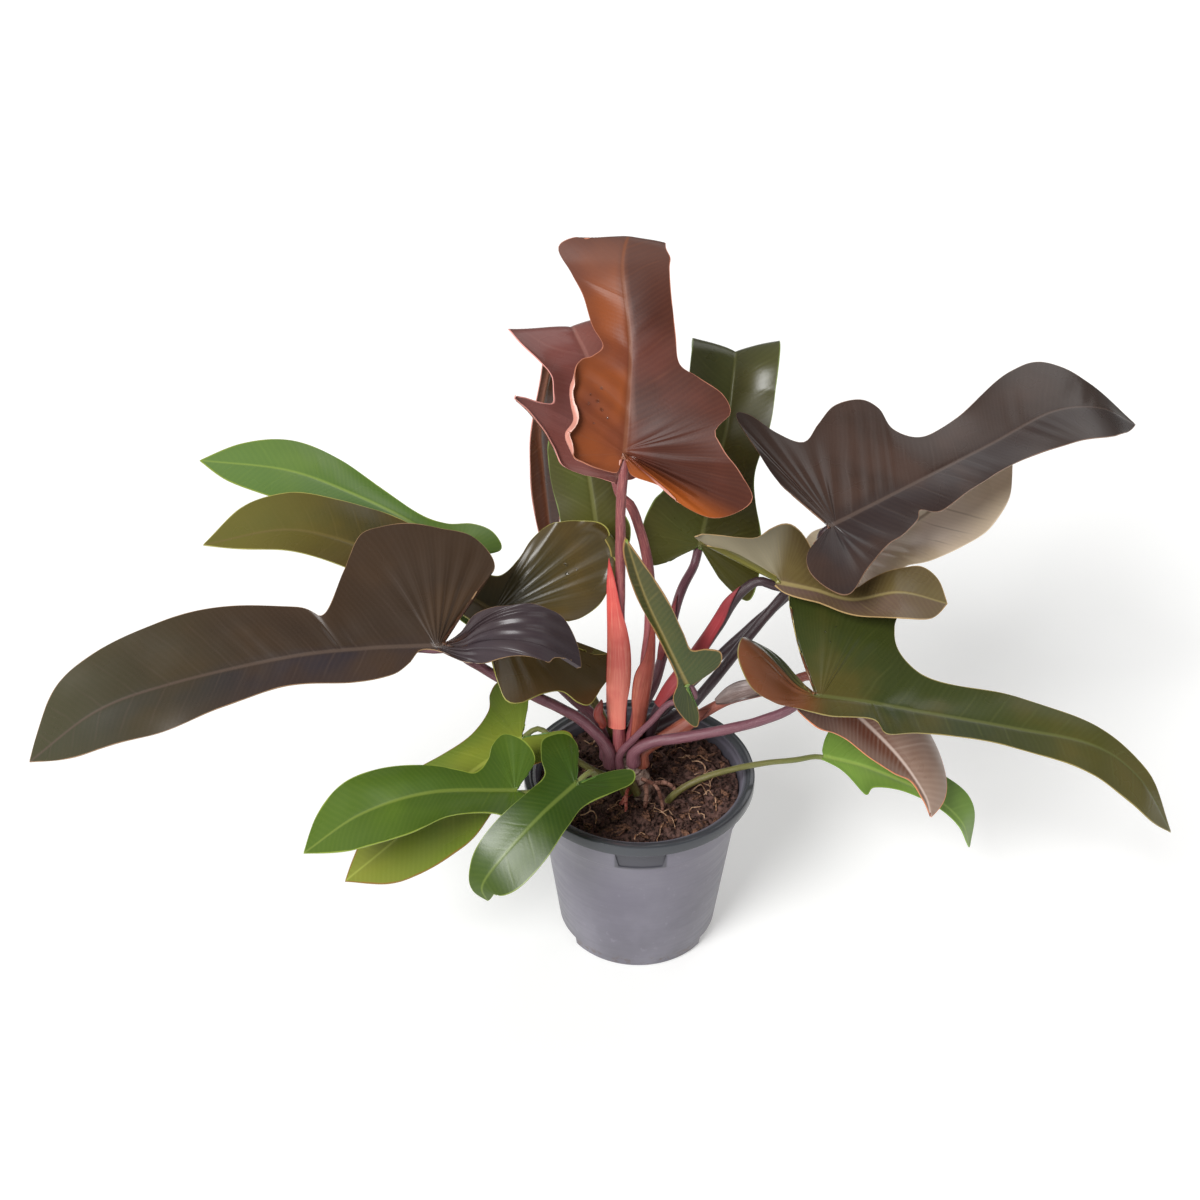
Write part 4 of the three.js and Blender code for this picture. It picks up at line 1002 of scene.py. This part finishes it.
# Water stands on the crown leaf and on two of the olive ones, as clear round drops
WATER = new_finish("water", Base_Color=(0.95, 0.97, 1.0, 1.0), Roughness=0.03, IOR=1.33,
                   Transmission_Weight=1.0)[0]
DROP_HEIGHT = 0.7


def set_drops(name, spots, spine, bends, slot):
    """Drops of water on a blade, each with its half, its place along and out, and its radius"""
    drops = []
    for half, along, out, size in spots:
        side = SIDES[half]
        near = bend_half(spine, side, np.array([[along, along, along + 1.0]]),
                         np.array([[out, out + 1.0, out]]),
                         **{key: value.get(half, (0, 0)) for key, value in bends.items()})[0]
        across, ahead = side * (near[1] - near[0]), near[2] - near[0]
        up = np.cross(across, ahead) / np.linalg.norm(np.cross(across, ahead))
        bpy.ops.object.select_all(action="DESELECT")
        bpy.ops.mesh.primitive_uv_sphere_add(segments=14, ring_count=8, radius=1)
        drop = bpy.context.object
        ball = corner_places(drop.data)
        place = near[0] + up + size * (ball[:, :1] * across + ball[:, 1:2] * ahead
                                       + DROP_HEIGHT * ball[:, 2:] * up)
        drop.data.vertices.foreach_set("co", (place * MM).ravel())
        bpy.ops.object.shade_smooth()
        drops.append(drop)
    dress(join_pieces(drops), "water_drops_" + name, WATER, slot)


def grow_leaf(name, upper, under, slot, skin, skin_slot, midrib, stalk, face=(0, -0.35, 0.93), seat=None,
              approach=14, thin=False, drops=(), **blade):
    """One leaf: its blade with two faces, and its stalk. Outlines run from the stalk to the tip, as
    places along the midrib and out from it; a roll goes from one of their points to another"""
    piece = press_blade(midrib, face, **blade)
    dress(piece, "leaf_" + name, upper, slot, name + "_blade")
    piece.data.materials[1] = under
    spine = lay_midrib(midrib, face)
    if drops:
        bends = {key: blade[key] for key in ("fold", "curl", "nape") if key in blade}
        set_drops(name, drops, spine, bends, slot)
    dress(draw_stalk(name, spine, stalk, seat, approach, thin), "petiole_" + name, skin, skin_slot,
          name + "_stalk")


pink_skin = stalk_finish("pink_stalk_skin", "88404a", "7a3d40", "b47068")
# The crown's left half is orange-brown and its right half dark brown: partly the leaf's own copper and
# bronze, partly painted light on the left half and painted shade on the right.
bronze_face = blade_finish("bronze_face", "8c4a28 46261e 62342a 5a3226 644840 7e4e38 b87860", outer=0.35,
                           tip=2.4, vein=0.2, rim=0.5, lobe=("a0521f", 1, -9, 4.4, 0.9), gloss=0.13)
bronze_back = blade_finish("bronze_back", "7a4030 7a4030 8a4a36 cc8a7a 6a3a2c 9a6a54 e8b8a8", outer=1.5,
                           veins=RAISED_VEINS)
grow_leaf(
    "crown", bronze_face, bronze_back, "bronze_blade", pink_skin, "pink_stalk", seed=1, quilt=1.3,
    ruffle=0.5,
    midrib=[[-13, 5, 404], [-11, 18, 427], [-9, 47, 463], [-14, 82, 502], [-10, 104, 515],
        [-14, 122, 478], [-18, 138, 415]],
    face=[-0.13, -1, 0.35],
    left=[[-3, 3], [-11, 4], [-9, 15], [-6, 25], [-3, 33], [5, 39], [12, 41], [21, 36], [37, 39],
        [48, 38], [62, 32], [66, 25], [74, 18], [90, 24], [112, 28], [126, 35], [138, 46], [147, 34],
        [156, 25], [170, 22], [200, 20], [235, 11]],
    right=[[-3, 3], [-12, 6], [-18, 26], [-30, 43], [-35, 64], [-23, 85], [-7, 78], [12, 63], [20, 58],
        [31, 67], [43, 61], [53, 44], [61, 32], [78, 30], [99, 30], [123, 31], [137, 31], [148, 26],
        [162, 24], [202, 22], [236, 12]],
    fold={LEFT: [0, 5, 10, 5, 0, -5, -11, -7, 2, 4, 0], RIGHT: [0, 5, 0, 0, 8, 0]},
    curl={LEFT: [-20, 45, 30, 0, 0, 0], RIGHT: [-20, 0, 0, -10, -150, -120]},
    rolls=[(LEFT, 1, 11, 9, 180)],
    drops=[(LEFT, 34, 20, 1.3), (LEFT, 38, 25, 1.0), (LEFT, 32, 26, 0.9), (LEFT, 43, 18, 0.8),
        (LEFT, 29, 17, 1.1), (LEFT, 24, 13, 0.7), (LEFT, 20, 22, 0.6)],
    stalk=[[-14.5, -10.5, 172.4], [-15, -10.5, 184], [-16, -8, 212], [-15.6, -4, 262], [-15, 0, 321],
        [-15, 2, 369]])

# Second bronze leaf: it stands left of the crown leaf on its own stalk, redder but of the same thin,
# glossy sheet. Its long tip is bent over and hangs down behind.
red_face = blade_finish("red_face", "7e4a44 805048 8a5c58 5c3028 46281e 9a6a60 e09a90", outer=0.4,
                        tip=0.8, vein=0.2)
red_back = blade_finish("red_back", "58301f 58301f 6d3f2a 4a2a1a 5a3424 8a5a44 e0a090", veins=RAISED_VEINS)
grow_leaf(
    "crown_left", red_face, red_back, "bronze_blade", pink_skin, "pink_stalk", seed=2,
    midrib=[[-17, 22, 378], [-27, 34, 411], [-35, 50, 445], [-43, 62, 460], [-50, 80, 460],
        [-63, 97, 424], [-71, 103, 378], [-70, 107, 335], [-67, 113, 289], [-65, 121, 249]],
    face=[0.42, -1, 0.3],
    left=[[-3, 3], [5, 14], [11, 24], [21, 35], [33, 39], [43, 43], [56, 51], [67, 60], [65, 52],
        [60, 42], [58, 33], [65, 31], [77, 30], [90, 35], [101, 43], [112, 44], [124, 34], [138, 18],
        [152, 8], [175, 5], [200, 6], [230, 9], [275, 11], [320, 7]],
    right=[[-2, 4], [-4, 12], [6, 26], [22, 33], [40, 36], [62, 32], [85, 24], [108, 22], [124, 20],
        [140, 15], [165, 13], [225, 13], [275, 13], [320, 7]],
    fold={LEFT: [0, 0, 13, 10, 8, 8], RIGHT: [0, 0, 0, 8, 8, 8]},
    rolls=[(LEFT, 2, 10, 6, 150)],
    stalk=[[-5.5, -10.5, 172.4], [-5.5, -10.5, 182], [-2, -8, 205], [2.5, -4, 238], [5.5, 0, 275],
        [5, 8, 310], [-1, 16, 338], [-9, 20, 359]])

# The two large dark leaves: full grown, nearly black bronze and waxy. One reaches left and one up to
# the right, each on its own stalk from the side of the stem.
dark_skin = stalk_finish("dark_stalk_skin", "36242a", "2e1e20", "4a343a")
mauve_skin = stalk_finish("mauve_stalk_skin", "6a3e48", "5a3440", "8a5e66")
# The left half of big_left and the lobe on that half are grey-mauve: a painted sheen, as on a half that
# tilts away; the right half is the leaf's own brown.
left_face = blade_finish("dark_left_face", "30282b 382a1e 46321f 44301e 42422a 5a4a40 9a7a5a", outer=0.4,
                         tip=0.8, rim=0.4, lobe=("3c3238", 0, -9, 99, 0.8))
left_back = blade_finish("dark_left_back", "4a2f22 4a2f22 5b3a28 3f3020 4a3a24 6a4c3a 8a5a40",
                         veins=RAISED_VEINS)
grow_leaf(
    "big_left", left_face, left_back, "dark_blade", mauve_skin, "dark_stalk", seed=3, quilt=0.8,
    midrib=[[-132, -60, 299], [-181, -62, 298], [-233, -68, 295], [-307, -82, 284], [-356, -92, 269],
        [-404, -100, 233]],
    face=[-0.05, -0.45, 0.9],
    left=[[-4, 1], [-15, -7], [-29, -12], [-45, -12], [-58, -10], [-72, -10], [-82, -8], [-94, -6],
        [-101, 0], [-106, 9], [-108, 18], [-108, 28], [-102, 25], [-95, 25], [-87, 27], [-83, 31],
        [-77, 30], [-69, 28], [-60, 27], [-49, 27], [-37, 26], [-15, 15], [0, 5], [14, 3], [22, 13],
        [34, 21], [60, 24], [106, 21], [147, 26], [198, 32], [251, 22]],
    right=[[-2, 4], [-23, 40], [-35, 60], [-21, 82], [2, 90], [23, 95], [39, 93], [53, 86], [63, 61],
        [76, 28], [93, 37], [150, 49], [190, 46], [226, 41], [263, 29]],
    nape={LEFT: [0, 60, 35, 5, -40]},
    seat=(216, 160),
    stalk=[[-26, -14, 180], [-41, -16, 201], [-57, -20, 216], [-77, -26, 233], [-97, -31, 250],
        [-108, -33, 260], [-119, -43, 277]])
right_face = blade_finish("dark_right_face", "38271f 322726 4a342a 34261f 3c322c 5a4a42 8a6a54",
                          outer=0.4, vein=0.12, rim=0.4)
right_back = blade_finish("dark_right_back", "5a3222 5a3222 74422a 4f3a24 5a3a2a 7a5844 b06a50",
                          veins=RAISED_VEINS)
grow_leaf(
    "big_right", right_face, right_back, "dark_blade", dark_skin, "dark_stalk", seed=4, quilt=0.6,
    midrib=[[128, 25, 338], [194, 60, 354], [248, 95, 363], [297, 125, 373], [336, 140, 368],
        [368, 150, 349]],
    left=[[-1, 5], [-8, 49], [-6, 80], [-1, 116], [7, 112], [14, 88], [26, 71], [44, 79], [65, 87],
        [87, 82], [94, 68], [90, 48], [100, 32], [121, 30], [165, 38], [196, 46], [214, 49], [228, 41],
        [247, 25]],
    right=[[-4, 3], [-24, 10], [-33, 24], [-30, 42], [-20, 53], [1, 43], [24, 34], [39, 32], [54, 27],
        [61, 21], [72, 29], [102, 25], [139, 23], [167, 26], [198, 31], [234, 31], [262, 18]],
    seat=(38, 160),
    stalk=[[34, 14, 188], [54, 24, 208], [76, 38, 232], [106, 50, 268], [125, 46, 300]],
    approach=4)

# Older olive leaves: the same waxy sheet, bronze turning green. They are held out low at the right and
# around and behind the dark ones, on stalks from the side and the top of the stem.
low_face = blade_finish("low_right_face", "384019 363c20 584c20 323818 58501a 5e6234 9a8a50", outer=0.4,
                        tip=0.9, rim=0.5, lobe=("7a4426", 1, 4.1, 99, 1.0))
low_back = blade_finish("low_right_back", "6a3c24 6a3c24 74482a 4f3a22 4a4a24 8a6a4a 9a9a58",
                        veins=RAISED_VEINS)
grow_leaf(
    "low_right", low_face, low_back, "olive_blade", mauve_skin, "pink_stalk", seed=5, quilt=0.7,
    midrib=[[117, -50, 250], [153, -55, 248], [187, -60, 244], [249, -72, 239], [299, -85, 235],
        [331, -95, 214], [356, -105, 176]],
    left=[[-2, 4], [-8, 18], [-15, 31], [-24, 51], [-30, 64], [-32, 74], [-24, 80], [-14, 80], [6, 73],
        [18, 68], [30, 69], [39, 75], [49, 75], [48, 62], [50, 48], [58, 37], [72, 29], [92, 26],
        [127, 26], [162, 20], [206, 12], [238, 9]],
    right=[[-4, -1], [-22, -14], [-45, -22], [-64, -19], [-73, -4], [-70, 10], [-52, 20], [-30, 19],
        [-10, 13], [12, 15], [40, 13], [50, 22], [73, 17], [118, 14], [161, 18], [191, 22], [218, 22],
        [250, 14]],
    fold={LEFT: [22, 12, 0, 0, 0, 0]},
    curl={RIGHT: [-260, 0, 0, 0, 0, 0]},
    nape={LEFT: [0, 20, 40], RIGHT: [0, 50, 50, 40, 0]},
    seat=(292, 165),
    rolls=[(LEFT, 2, 7, 14, 60)],
    drops=[(LEFT, 6, 40, 0.9), (LEFT, 9, 52, 0.7), (LEFT, 2, 47, 0.8), (LEFT, 14, 30, 0.8)],
    stalk=[[8, -22, 187], [28, -26, 194], [55, -33, 206], [82, -42, 222], [101, -47, 236]],
    approach=6)
mid_face = blade_finish("mid_left_face", "4a3c1a 3c361e 5c481c 4e3a16 686424 6a5c30 a09a50", outer=0.4,
                        tip=0.75, rim=0.6)
mid_back = blade_finish("mid_left_back", "5f5a26 6a6428 74702c 4a4420 5a5424 8a8444 b0985a",
                        veins=RAISED_VEINS)
grow_leaf(
    "mid_left", mid_face, mid_back, "olive_blade", mauve_skin, "pink_stalk", seed=6,
    midrib=[[-99, 15, 271], [-140, 22, 296], [-188, 30, 316], [-244, 38, 327], [-307, 42, 312]],
    left=[[-3, 3], [-30, -4], [-57, -12], [-74, -16], [-89, -27], [-92, -12], [-87, 13], [-83, 33],
        [-74, 38], [-61, 37], [-49, 49], [-36, 69], [-26, 74], [-17, 63], [-7, 47], [8, 24], [40, 18],
        [80, 20], [112, 20], [148, 18], [187, 13]],
    right=[[-3, 4], [-24, 12], [-41, 21], [-44, 22], [-50, 29], [-55, 42], [-55, 54], [-52, 69],
        [-46, 81], [-38, 88], [-26, 91], [-12, 86], [-1, 78], [6, 69], [10, 56], [10, 42], [12, 29],
        [17, 22], [28, 20], [50, 24], [80, 29], [105, 32], [138, 31], [167, 32], [198, 24]],
    fold={LEFT: [20, 20, 10, 0, 0, 0], RIGHT: [45, 40, 10, 0, 0, 0]},
    seat=(178, 160),
    rolls=[(RIGHT, 6, 11, 15, 175)],
    drops=[(RIGHT, -24, 50, 1.3), (RIGHT, -20, 55, 1.0), (RIGHT, -28, 56, 0.8)],
    stalk=[[-33, 0, 192], [-48, 2, 207], [-66, 6, 226], [-84, 10, 248]])
fold_face = blade_finish("mid_right_face", "6a5c34 68524a 54442c 604e32 746440 a0905e c0a070", vein=0.2,
                         lobe=("8c846e", 0, -9, 99, 0.9))
grow_leaf(
    "mid_right", fold_face, mid_back, "olive_blade", dark_skin, "dark_stalk", seed=7,
    midrib=[[93, 4, 306], [118, 2, 301], [144, -1, 295], [177, 2, 299], [211, 4, 288]],
    left=[[-2, 4], [-20, 10], [-36, 14], [-52, 15], [-61, 18], [-50, 23], [-33, 25], [-20, 28], [-12, 36],
        [-3, 42], [6, 42], [16, 36], [30, 20], [46, 10], [56, 9], [68, 14], [88, 21], [103, 26],
        [116, 18]],
    right=[[-2, 3], [6, 7], [18, 9], [38, 10], [50, 12], [60, 15], [84, 22], [108, 17]],
    fold={LEFT: [25, 20, 0, 0, 0, 0], RIGHT: [-30, -20, 0, 0, 0, 0]},
    seat=(2, 160),
    rolls=[(LEFT, 3, 5, 8, 120)],
    stalk=[[12, -6, 202], [21, -6, 221], [36, -2, 242], [54, 3, 271], [68, 6, 296], [80, 7, 305]],
    approach=2)
# under_right's near-white face is partly the leaf's own pale tan and partly painted light and sheen, where
# it lies under the big right leaf.
under_face = blade_finish("under_right_face", "ece0c4 e4d4c4 c0ac88 c8b08e dccca8 94806a f0dcc0", tip=0.4,
                          vein=0.5)
UNDER_OUTLINE = [[-3, 4], [-22, 26], [-6, 38], [14, 32], [28, 26], [44, 32], [71, 37], [101, 37], [131, 25]]
grow_leaf(
    "under_right", under_face, mid_back, "olive_blade", dark_skin, "dark_stalk", seed=8, quilt=1.0,
    ruffle=1.4,
    midrib=[[151, 55, 289], [192, 82, 301], [235, 112, 314], [278, 138, 323]],
    left=UNDER_OUTLINE, right=UNDER_OUTLINE,
    seat=(74, 160),
    stalk=[[14, 21, 178], [34, 34, 193], [62, 49, 214], [92, 60, 240], [126, 62, 272]])
back_face = blade_finish("back_right_face", "4c501e 444118 545220 3e3a10 5c6040 727240 7a8a4a", outer=0.6,
                         tip=0.8)
back_back = blade_finish("back_right_back", "4a5a20 4a5a20 546428 3a4a1a 4a5a24 7a8a54 7a8a4a",
                         veins=RAISED_VEINS)
grow_leaf(
    "back_right", back_face, back_back, "olive_blade", mauve_skin, "pink_stalk", seed=9,
    midrib=[[43, 76, 289], [52, 94, 326], [63, 120, 366], [69, 150, 403], [70, 170, 391], [74, 192, 326]],
    face=[0, -1, 0.35],
    left=[[-2, 4], [-9, 13], [-17, 22], [-19, 34], [4, 43], [25, 40], [36, 34], [55, 30], [85, 31],
        [114, 33], [140, 33], [170, 32], [200, 28], [225, 15]],
    right=[[-2, 4], [-8, 12], [-20, 20], [-31, 44], [-4, 47], [18, 42], [42, 32], [64, 27], [94, 31],
        [114, 32], [140, 33], [170, 32], [200, 28], [225, 15]],
    fold={LEFT: [0, 0, 4, 12, 14, 12], RIGHT: [0, 0, 8, 25, 28, 22]},
    curl={LEFT: [0, 0, 0, 0, -60, -80], RIGHT: [0, 0, 0, 0, -60, -80]},
    stalk=[[-5.5, -1.5, 172.4], [-5.5, -1.5, 180], [1, 8, 193], [11, 20, 209], [20, 36, 236],
        [30, 55, 265]])

# Green leaves: small and young, or old and shaded, and plain green. The front ones stand on thin
# stalks low on the stem, and the stalk of the bright one comes up out of the soil by itself.
green_skin = stalk_finish("green_stalk_skin", "6a6030", "6d7a3c", "8a8a5a")
green_face = blade_finish("green_face", "445c1c 486220 56701e 385010 58701e 7a8a3a 8a9a3a", outer=0.4,
                          vein=0.1)
green_back = blade_finish("green_back", "557838 557838 608040 456a2a 557838 8aa060 8a9a3a",
                          veins=RAISED_VEINS)
far_face = blade_finish("far_left_face", "547038 587434 688038 4a6620 6c8846 8aa04a 8a9a3a", outer=0.4,
                        tip=0.6, vein=0.1)
grow_leaf(
    "far_left", far_face, green_back, "green_blade", green_skin, "green_stalk", seed=10,
    midrib=[[-129, 62, 290], [-165, 72, 313], [-208, 84, 330], [-254, 95, 342], [-316, 100, 347]],
    face=[0.1, -0.3, 0.95],
    left=[[-4, 3], [-48, 20], [-50, 36], [-30, 46], [0, 40], [24, 34], [40, 22], [74, 20], [110, 24],
        [145, 26], [178, 17]],
    right=[[-4, 3], [-22, 24], [-10, 34], [6, 30], [22, 16], [42, 10], [74, 15], [110, 24], [145, 28],
        [178, 19]],
    seat=(141, 160),
    stalk=[[-38, 20, 200], [-66, 36, 236], [-98, 52, 266]])
grow_leaf(
    "front_left", green_face, green_back, "green_blade", green_skin, "green_stalk", seed=11,
    midrib=[[-86, -72, 185], [-144, -85, 194], [-191, -95, 183], [-231, -103, 155]],
    face=[0, -0.3, 0.95],
    left=[[-3, 3], [-26, 18], [-22, 34], [0, 30], [16, 19], [48, 20], [82, 28], [123, 22]],
    right=[[-2, 4], [-14, 20], [-8, 34], [6, 40], [15, 33], [19, 22], [28, 13], [39, 15], [64, 22],
        [90, 28], [115, 28], [141, 19]],
    fold={RIGHT: [30, 5, 0]},
    seat=(234, 136),
    stalk=[[-34, -34, 160], [-58, -52, 173]],
    thin=True)
lime_face = blade_finish("lime_face", "6a7c2a 728230 80882e 586e20 8a8832 a0a84a 8a6a2a", rim=1.0)
grow_leaf(
    "under_left", lime_face, green_back, "green_blade", green_skin, "green_stalk", seed=12,
    midrib=[[-85, -12, 183], [-132, -42, 164], [-174, -64, 132], [-210, -78, 105]],
    face=[-0.2, -0.3, 0.93],
    left=[[-3, 3], [-26, 16], [-26, 28], [-8, 30], [14, 24], [36, 32], [67, 44], [91, 42], [116, 35],
        [137, 24]],
    right=[[-3, 3], [-24, 28], [-16, 52], [-4, 48], [6, 35], [27, 27], [53, 28], [80, 33], [110, 30],
        [140, 18]],
    seat=(196, 130),
    stalk=[[-32, -14, 153], [-56, -13, 173]],
    thin=True)
front_face = blade_finish("front_face", "2e4410 324a12 44580f 2c3f0c 4a5c1c 6a7a34 7a8a3a", outer=0.4,
                          vein=0.1, gloss=0.35)
grow_leaf(
    "front", front_face, green_back, "green_blade", green_skin, "green_stalk", seed=13,
    midrib=[[-45, -75, 194], [-69, -98, 185], [-93, -116, 166], [-108, -124, 146], [-105, -126, 133]],
    face=[0, -0.45, 0.9],
    left=[[-3, 3], [-20, 9], [-34, 20], [-28, 27], [-12, 22], [9, 16], [27, 19], [55, 24], [82, 22],
        [103, 10]],
    right=[[-3, 3], [-20, 18], [-22, 32], [-8, 40], [4, 30], [12, 19], [28, 18], [57, 20], [83, 18],
        [101, 9]],
    seat=(264, 137),
    stalk=[[-14, -34, 156], [-29, -55, 176]],
    thin=True)
bright_face = blade_finish("bright_face", "66863a 6c8c3c 789a44 5a7c36 789640 94b056 7a9a3a")
grow_leaf(
    "shoot_right", bright_face, green_back, "green_blade", green_skin, "green_stalk", seed=14,
    midrib=[[135, 0, 156], [168, -8, 151], [212, -18, 134], [236, -24, 114], [245, -26, 90]],
    left=[[-2, 4], [-2, 15], [1, 25], [8, 31], [15, 28], [21, 21], [30, 20], [45, 20], [64, 21], [92, 22],
        [112, 21], [128, 13]],
    right=[[-1, 3], [10, 6], [18, 10], [36, 22], [41, 14], [58, 8], [78, 6], [104, 5], [125, 4]],
    stalk=[[18, -19, 118], [22, -19, 131], [32, -19, 142], [47, -16, 149], [66, -12, 153], [90, -7, 155],
        [115, -3, 155]],
    approach=4,
    thin=True)
young_face = blade_finish("young_face", "2e3a12 38441a 4a4a1c 2c340f 4e4624 8a7a44 a07a4a")
grow_leaf(
    "young", young_face, green_back, "green_blade", mauve_skin, "pink_stalk", seed=15,
    midrib=[[31, -28, 243], [17, -25, 274], [1, -18, 310], [-12, -10, 351]],
    face=[-0.3, -0.9, 0.5],
    left=[[-3, 2], [-14, 1], [-26, 2], [-34, 7], [-28, 11], [-15, 14], [-4, 13], [4, 6], [15, 4], [48, 4],
        [81, 6], [108, 5]],
    right=[[-2, 4], [6, 26], [16, 32], [22, 24], [25, 14], [40, 14], [65, 14], [86, 10]],
    fold={LEFT: [20, 40, 40]},
    seat=(250, 160),
    stalk=[[-4, -23, 192], [8, -24, 208], [20, -25, 224]],
    thin=True)
grow_leaf(
    "back", back_face, back_back, "green_blade", dark_skin, "dark_stalk", seed=16,
    midrib=[[-30, 60, 305], [-34, 72, 331], [-40, 92, 368], [-42, 112, 395], [-44, 132, 360]],
    face=[0, -1, 0.35],
    left=[[-3, 4], [-5, 14], [8, 24], [22, 25], [42, 27], [60, 27], [74, 25], [92, 15], [120, 9],
        [138, 5]],
    right=[[-3, 4], [-10, 18], [6, 24], [27, 18], [59, 20], [90, 20], [120, 15], [138, 8]],
    stalk=[[-14.5, -1.5, 172.4], [-14.5, -1.5, 182], [-13, 11, 200], [-13, 32, 236], [-21, 47, 276]])

# Hanging leaf: a narrow bronze blade that is rolled lengthwise. It hangs down at the right from a red
# stalk, which is seated on the side of the stem like the others.
red_skin = stalk_finish("red_stalk_skin", "8a4434", "743a34", "a86a58")
roll_face = blade_finish("rolled_face", "8c7264 5a2e1e 6e4636 b09c8c 94806f d8c4b8 d8885c", outer=0.3,
                         tip=0.4, vein=0.12)
grow_leaf(
    "hanging_right", roll_face, bronze_back, "bronze_blade", red_skin, "pink_stalk", seed=17, quilt=0.8,
    midrib=[[129, -20, 232], [157, -26, 208], [183, -34, 182], [202, -42, 155], [208, -46, 137]],
    face=[0.1, -0.95, 0.35],
    left=[[-3, 4], [-16, 26], [4, 34], [20, 30], [34, 30], [58, 38], [86, 40], [104, 30], [118, 16]],
    right=[[-3, 4], [-16, 26], [4, 32], [20, 24], [34, 20], [56, 18], [78, 12], [94, 4], [112, 3]],
    fold={LEFT: [0, 0], RIGHT: [20, 20]},
    curl={LEFT: [0, -120, -200, -240], RIGHT: [120, 160, 160]},
    seat=(326, 160),
    stalk=[[25, -14, 190], [43, -12, 204], [64, -12, 218], [98, -14, 230]])


# Sheaths: fleshy pointed scales, coral to red, that wrapped the young leaves and still clasp their
# stalks; the dried one has gone brown and curls away. Each is laid along its stalk, just clear of it.
SHEATH_THICKNESS = 1.1
SHEATH_RIDGE = 0.6
SHEATH_GAP = 1.1


def press_sheath(stalk, reach, face, left, right, curl, lean):
    """A narrow blade laid along its stalk and curled round it; lean carries its tip off to the side"""
    line, radii = (values[:-len(STALK_RUNOUT)] for values in STALK_LINES[stalk])
    gone = gone_along(line)
    face = np.array(face, float)
    places = []
    for station in np.linspace(0, 1, 9):
        part = gone[-1] * (reach[0] + (reach[1] - reach[0]) * station)
        point = at_distances(part, gone, line)
        ahead = at_distances(part + 1, gone, line) - point
        ahead /= np.linalg.norm(ahead)
        out = face - ahead * (face @ ahead)
        out /= np.linalg.norm(out)
        aside = lean * station ** 3
        away = np.interp(part, gone, radii) + SHEATH_GAP + abs(aside) / 4
        places.append(point + out * away + aside * np.cross(ahead, out))
    length = lay_midrib(places, face)["length"]
    outlines = [[(length * k / len(widths), wide) for k, wide in enumerate(widths)]
                for widths in (left, right)]
    return press_blade(places, face, *outlines, curl=dict.fromkeys(SIDES, [curl, curl]), quilt=0.0,
                       ruffle=0.2, rib=SHEATH_RIDGE, thickness=SHEATH_THICKNESS, row_width=2.5)


def fleshy_finish(name, low, high, pale, edge):
    """Fleshy skin that changes colour towards its point, with pale lengthwise streaks"""
    material, tree, surface = new_finish(name, Specular_IOR_Level=0.5)
    part, margin = stored(tree, "part", "margin")
    streaks = lengthwise(tree, times(tree, on_blade(tree)[1], 9.0), times(tree, part, 2.0), 1.8)
    clouds = grain(tree, on_piece(tree), 60.0, 3.0)
    colour = paint_over(tree, blend_colours(tree, ease(tree, part, 0.1, 0.95), low, high),
                        (ease(tree, streaks, 0.45, 0.75), pale),
                        (times(tree, ease(tree, clouds, 0.4, 0.7), 0.4), edge),
                        (ease(tree, margin, 0.3, 1.2, 0.8, 0.0), edge))
    coat_surface(tree, surface, colour, ease(tree, clouds, 0.2, 0.8, 0.35, 0.5), streaks, 0.0005, 0.5)
    return material


coral = fleshy_finish("coral_sheath_skin", "e07a68", "d84a44", "f2a490", "c23c3c")
rusty = fleshy_finish("rusty_sheath_skin", "a8503c", "a03a32", "c47a60", "6a241e")
ember = fleshy_finish("ember_sheath_skin", "8a4430", "8c4030", "a86a52", "5c241a")
crimson = fleshy_finish("red_sheath_skin", "8e2c30", "94222c", "aa4a4c", "641a20")
dried = fleshy_finish("dried_sheath_skin", "7c6a64", "6a5652", "b8aaa6", "483632")
# Each with its finish and slot, its stalk, the part of it that it clasps, the side it faces, the widths
# of its halves from foot to point, its curl in degrees over 100 mm, and how far its point leans aside
SHEATHS = {
    "sheath_tall": (coral, "coral_sheath", "crown", (0.085, 0.67), (-0.15, -1, 0.1),
                    (8, 9, 9, 8, 7, 6, 4), (5.5, 7, 11, 11, 8, 4, 2), -620, -7),
    "sheath_side": (rusty, "coral_sheath", "crown_left", (0.06, 0.52), (0.5, -1, 0.1),
                    (5, 6, 9, 9, 4, 2), (8, 10, 11, 8, 5, 3), -700, -1.5),
    "sheath_red": (crimson, "red_sheath", "mid_right", (0.27, 0.84), (-0.6, -0.7, 0.5),
                   (3, 6, 6, 5, 4), (3, 6, 7, 5, 4), -800, -2),
    "sheath_back": (crimson, "red_sheath", "back_right", (0.4, 0.7), (-0.5, -1, 0.2),
                    (2, 4, 4, 2), (2, 4, 4, 2), -900, 0),
    "sheath_low": (ember, "coral_sheath", "hanging_right", (0.17, 0.44), (0, -0.7, 0.7),
                   (4, 6, 6, 4), (4, 6, 6, 4), -900, 0),
    "scale_dry": (dried, "dry_scale", "hanging_right", (0.47, 0.76), (-0.2, -0.3, 0.9),
                  (2, 7, 8, 4), (2, 10, 13, 5), 500, 0),
}
for name, (finish, slot, *form) in SHEATHS.items():
    piece = press_sheath(*form)
    dress(piece, "wrapping_" + name, finish, slot, name)
    piece.data.materials[1] = finish


# Bud: a plump pink point that is breaking among the feet of the stalks. It is fleshy like the sheaths,
# and has no solid of its own.
BUD_RADIUS = 3.3
BUD_LINE = [(-27, -16, 196), (-27, -16, 199), (-30, -17, 209), (-28, -16, 218), (-28, -16, 220)]

line, gone = smooth_line(BUD_LINE, 1.5)
radii = BUD_RADIUS * np.sin(math.pi * (0.18 + 0.8 * gone / gone[-1])) ** 0.8 + 0.25
dress(lay_rod(line, radii, 16, 0.04, 2), "pink_bud", rusty, "coral_sheath")
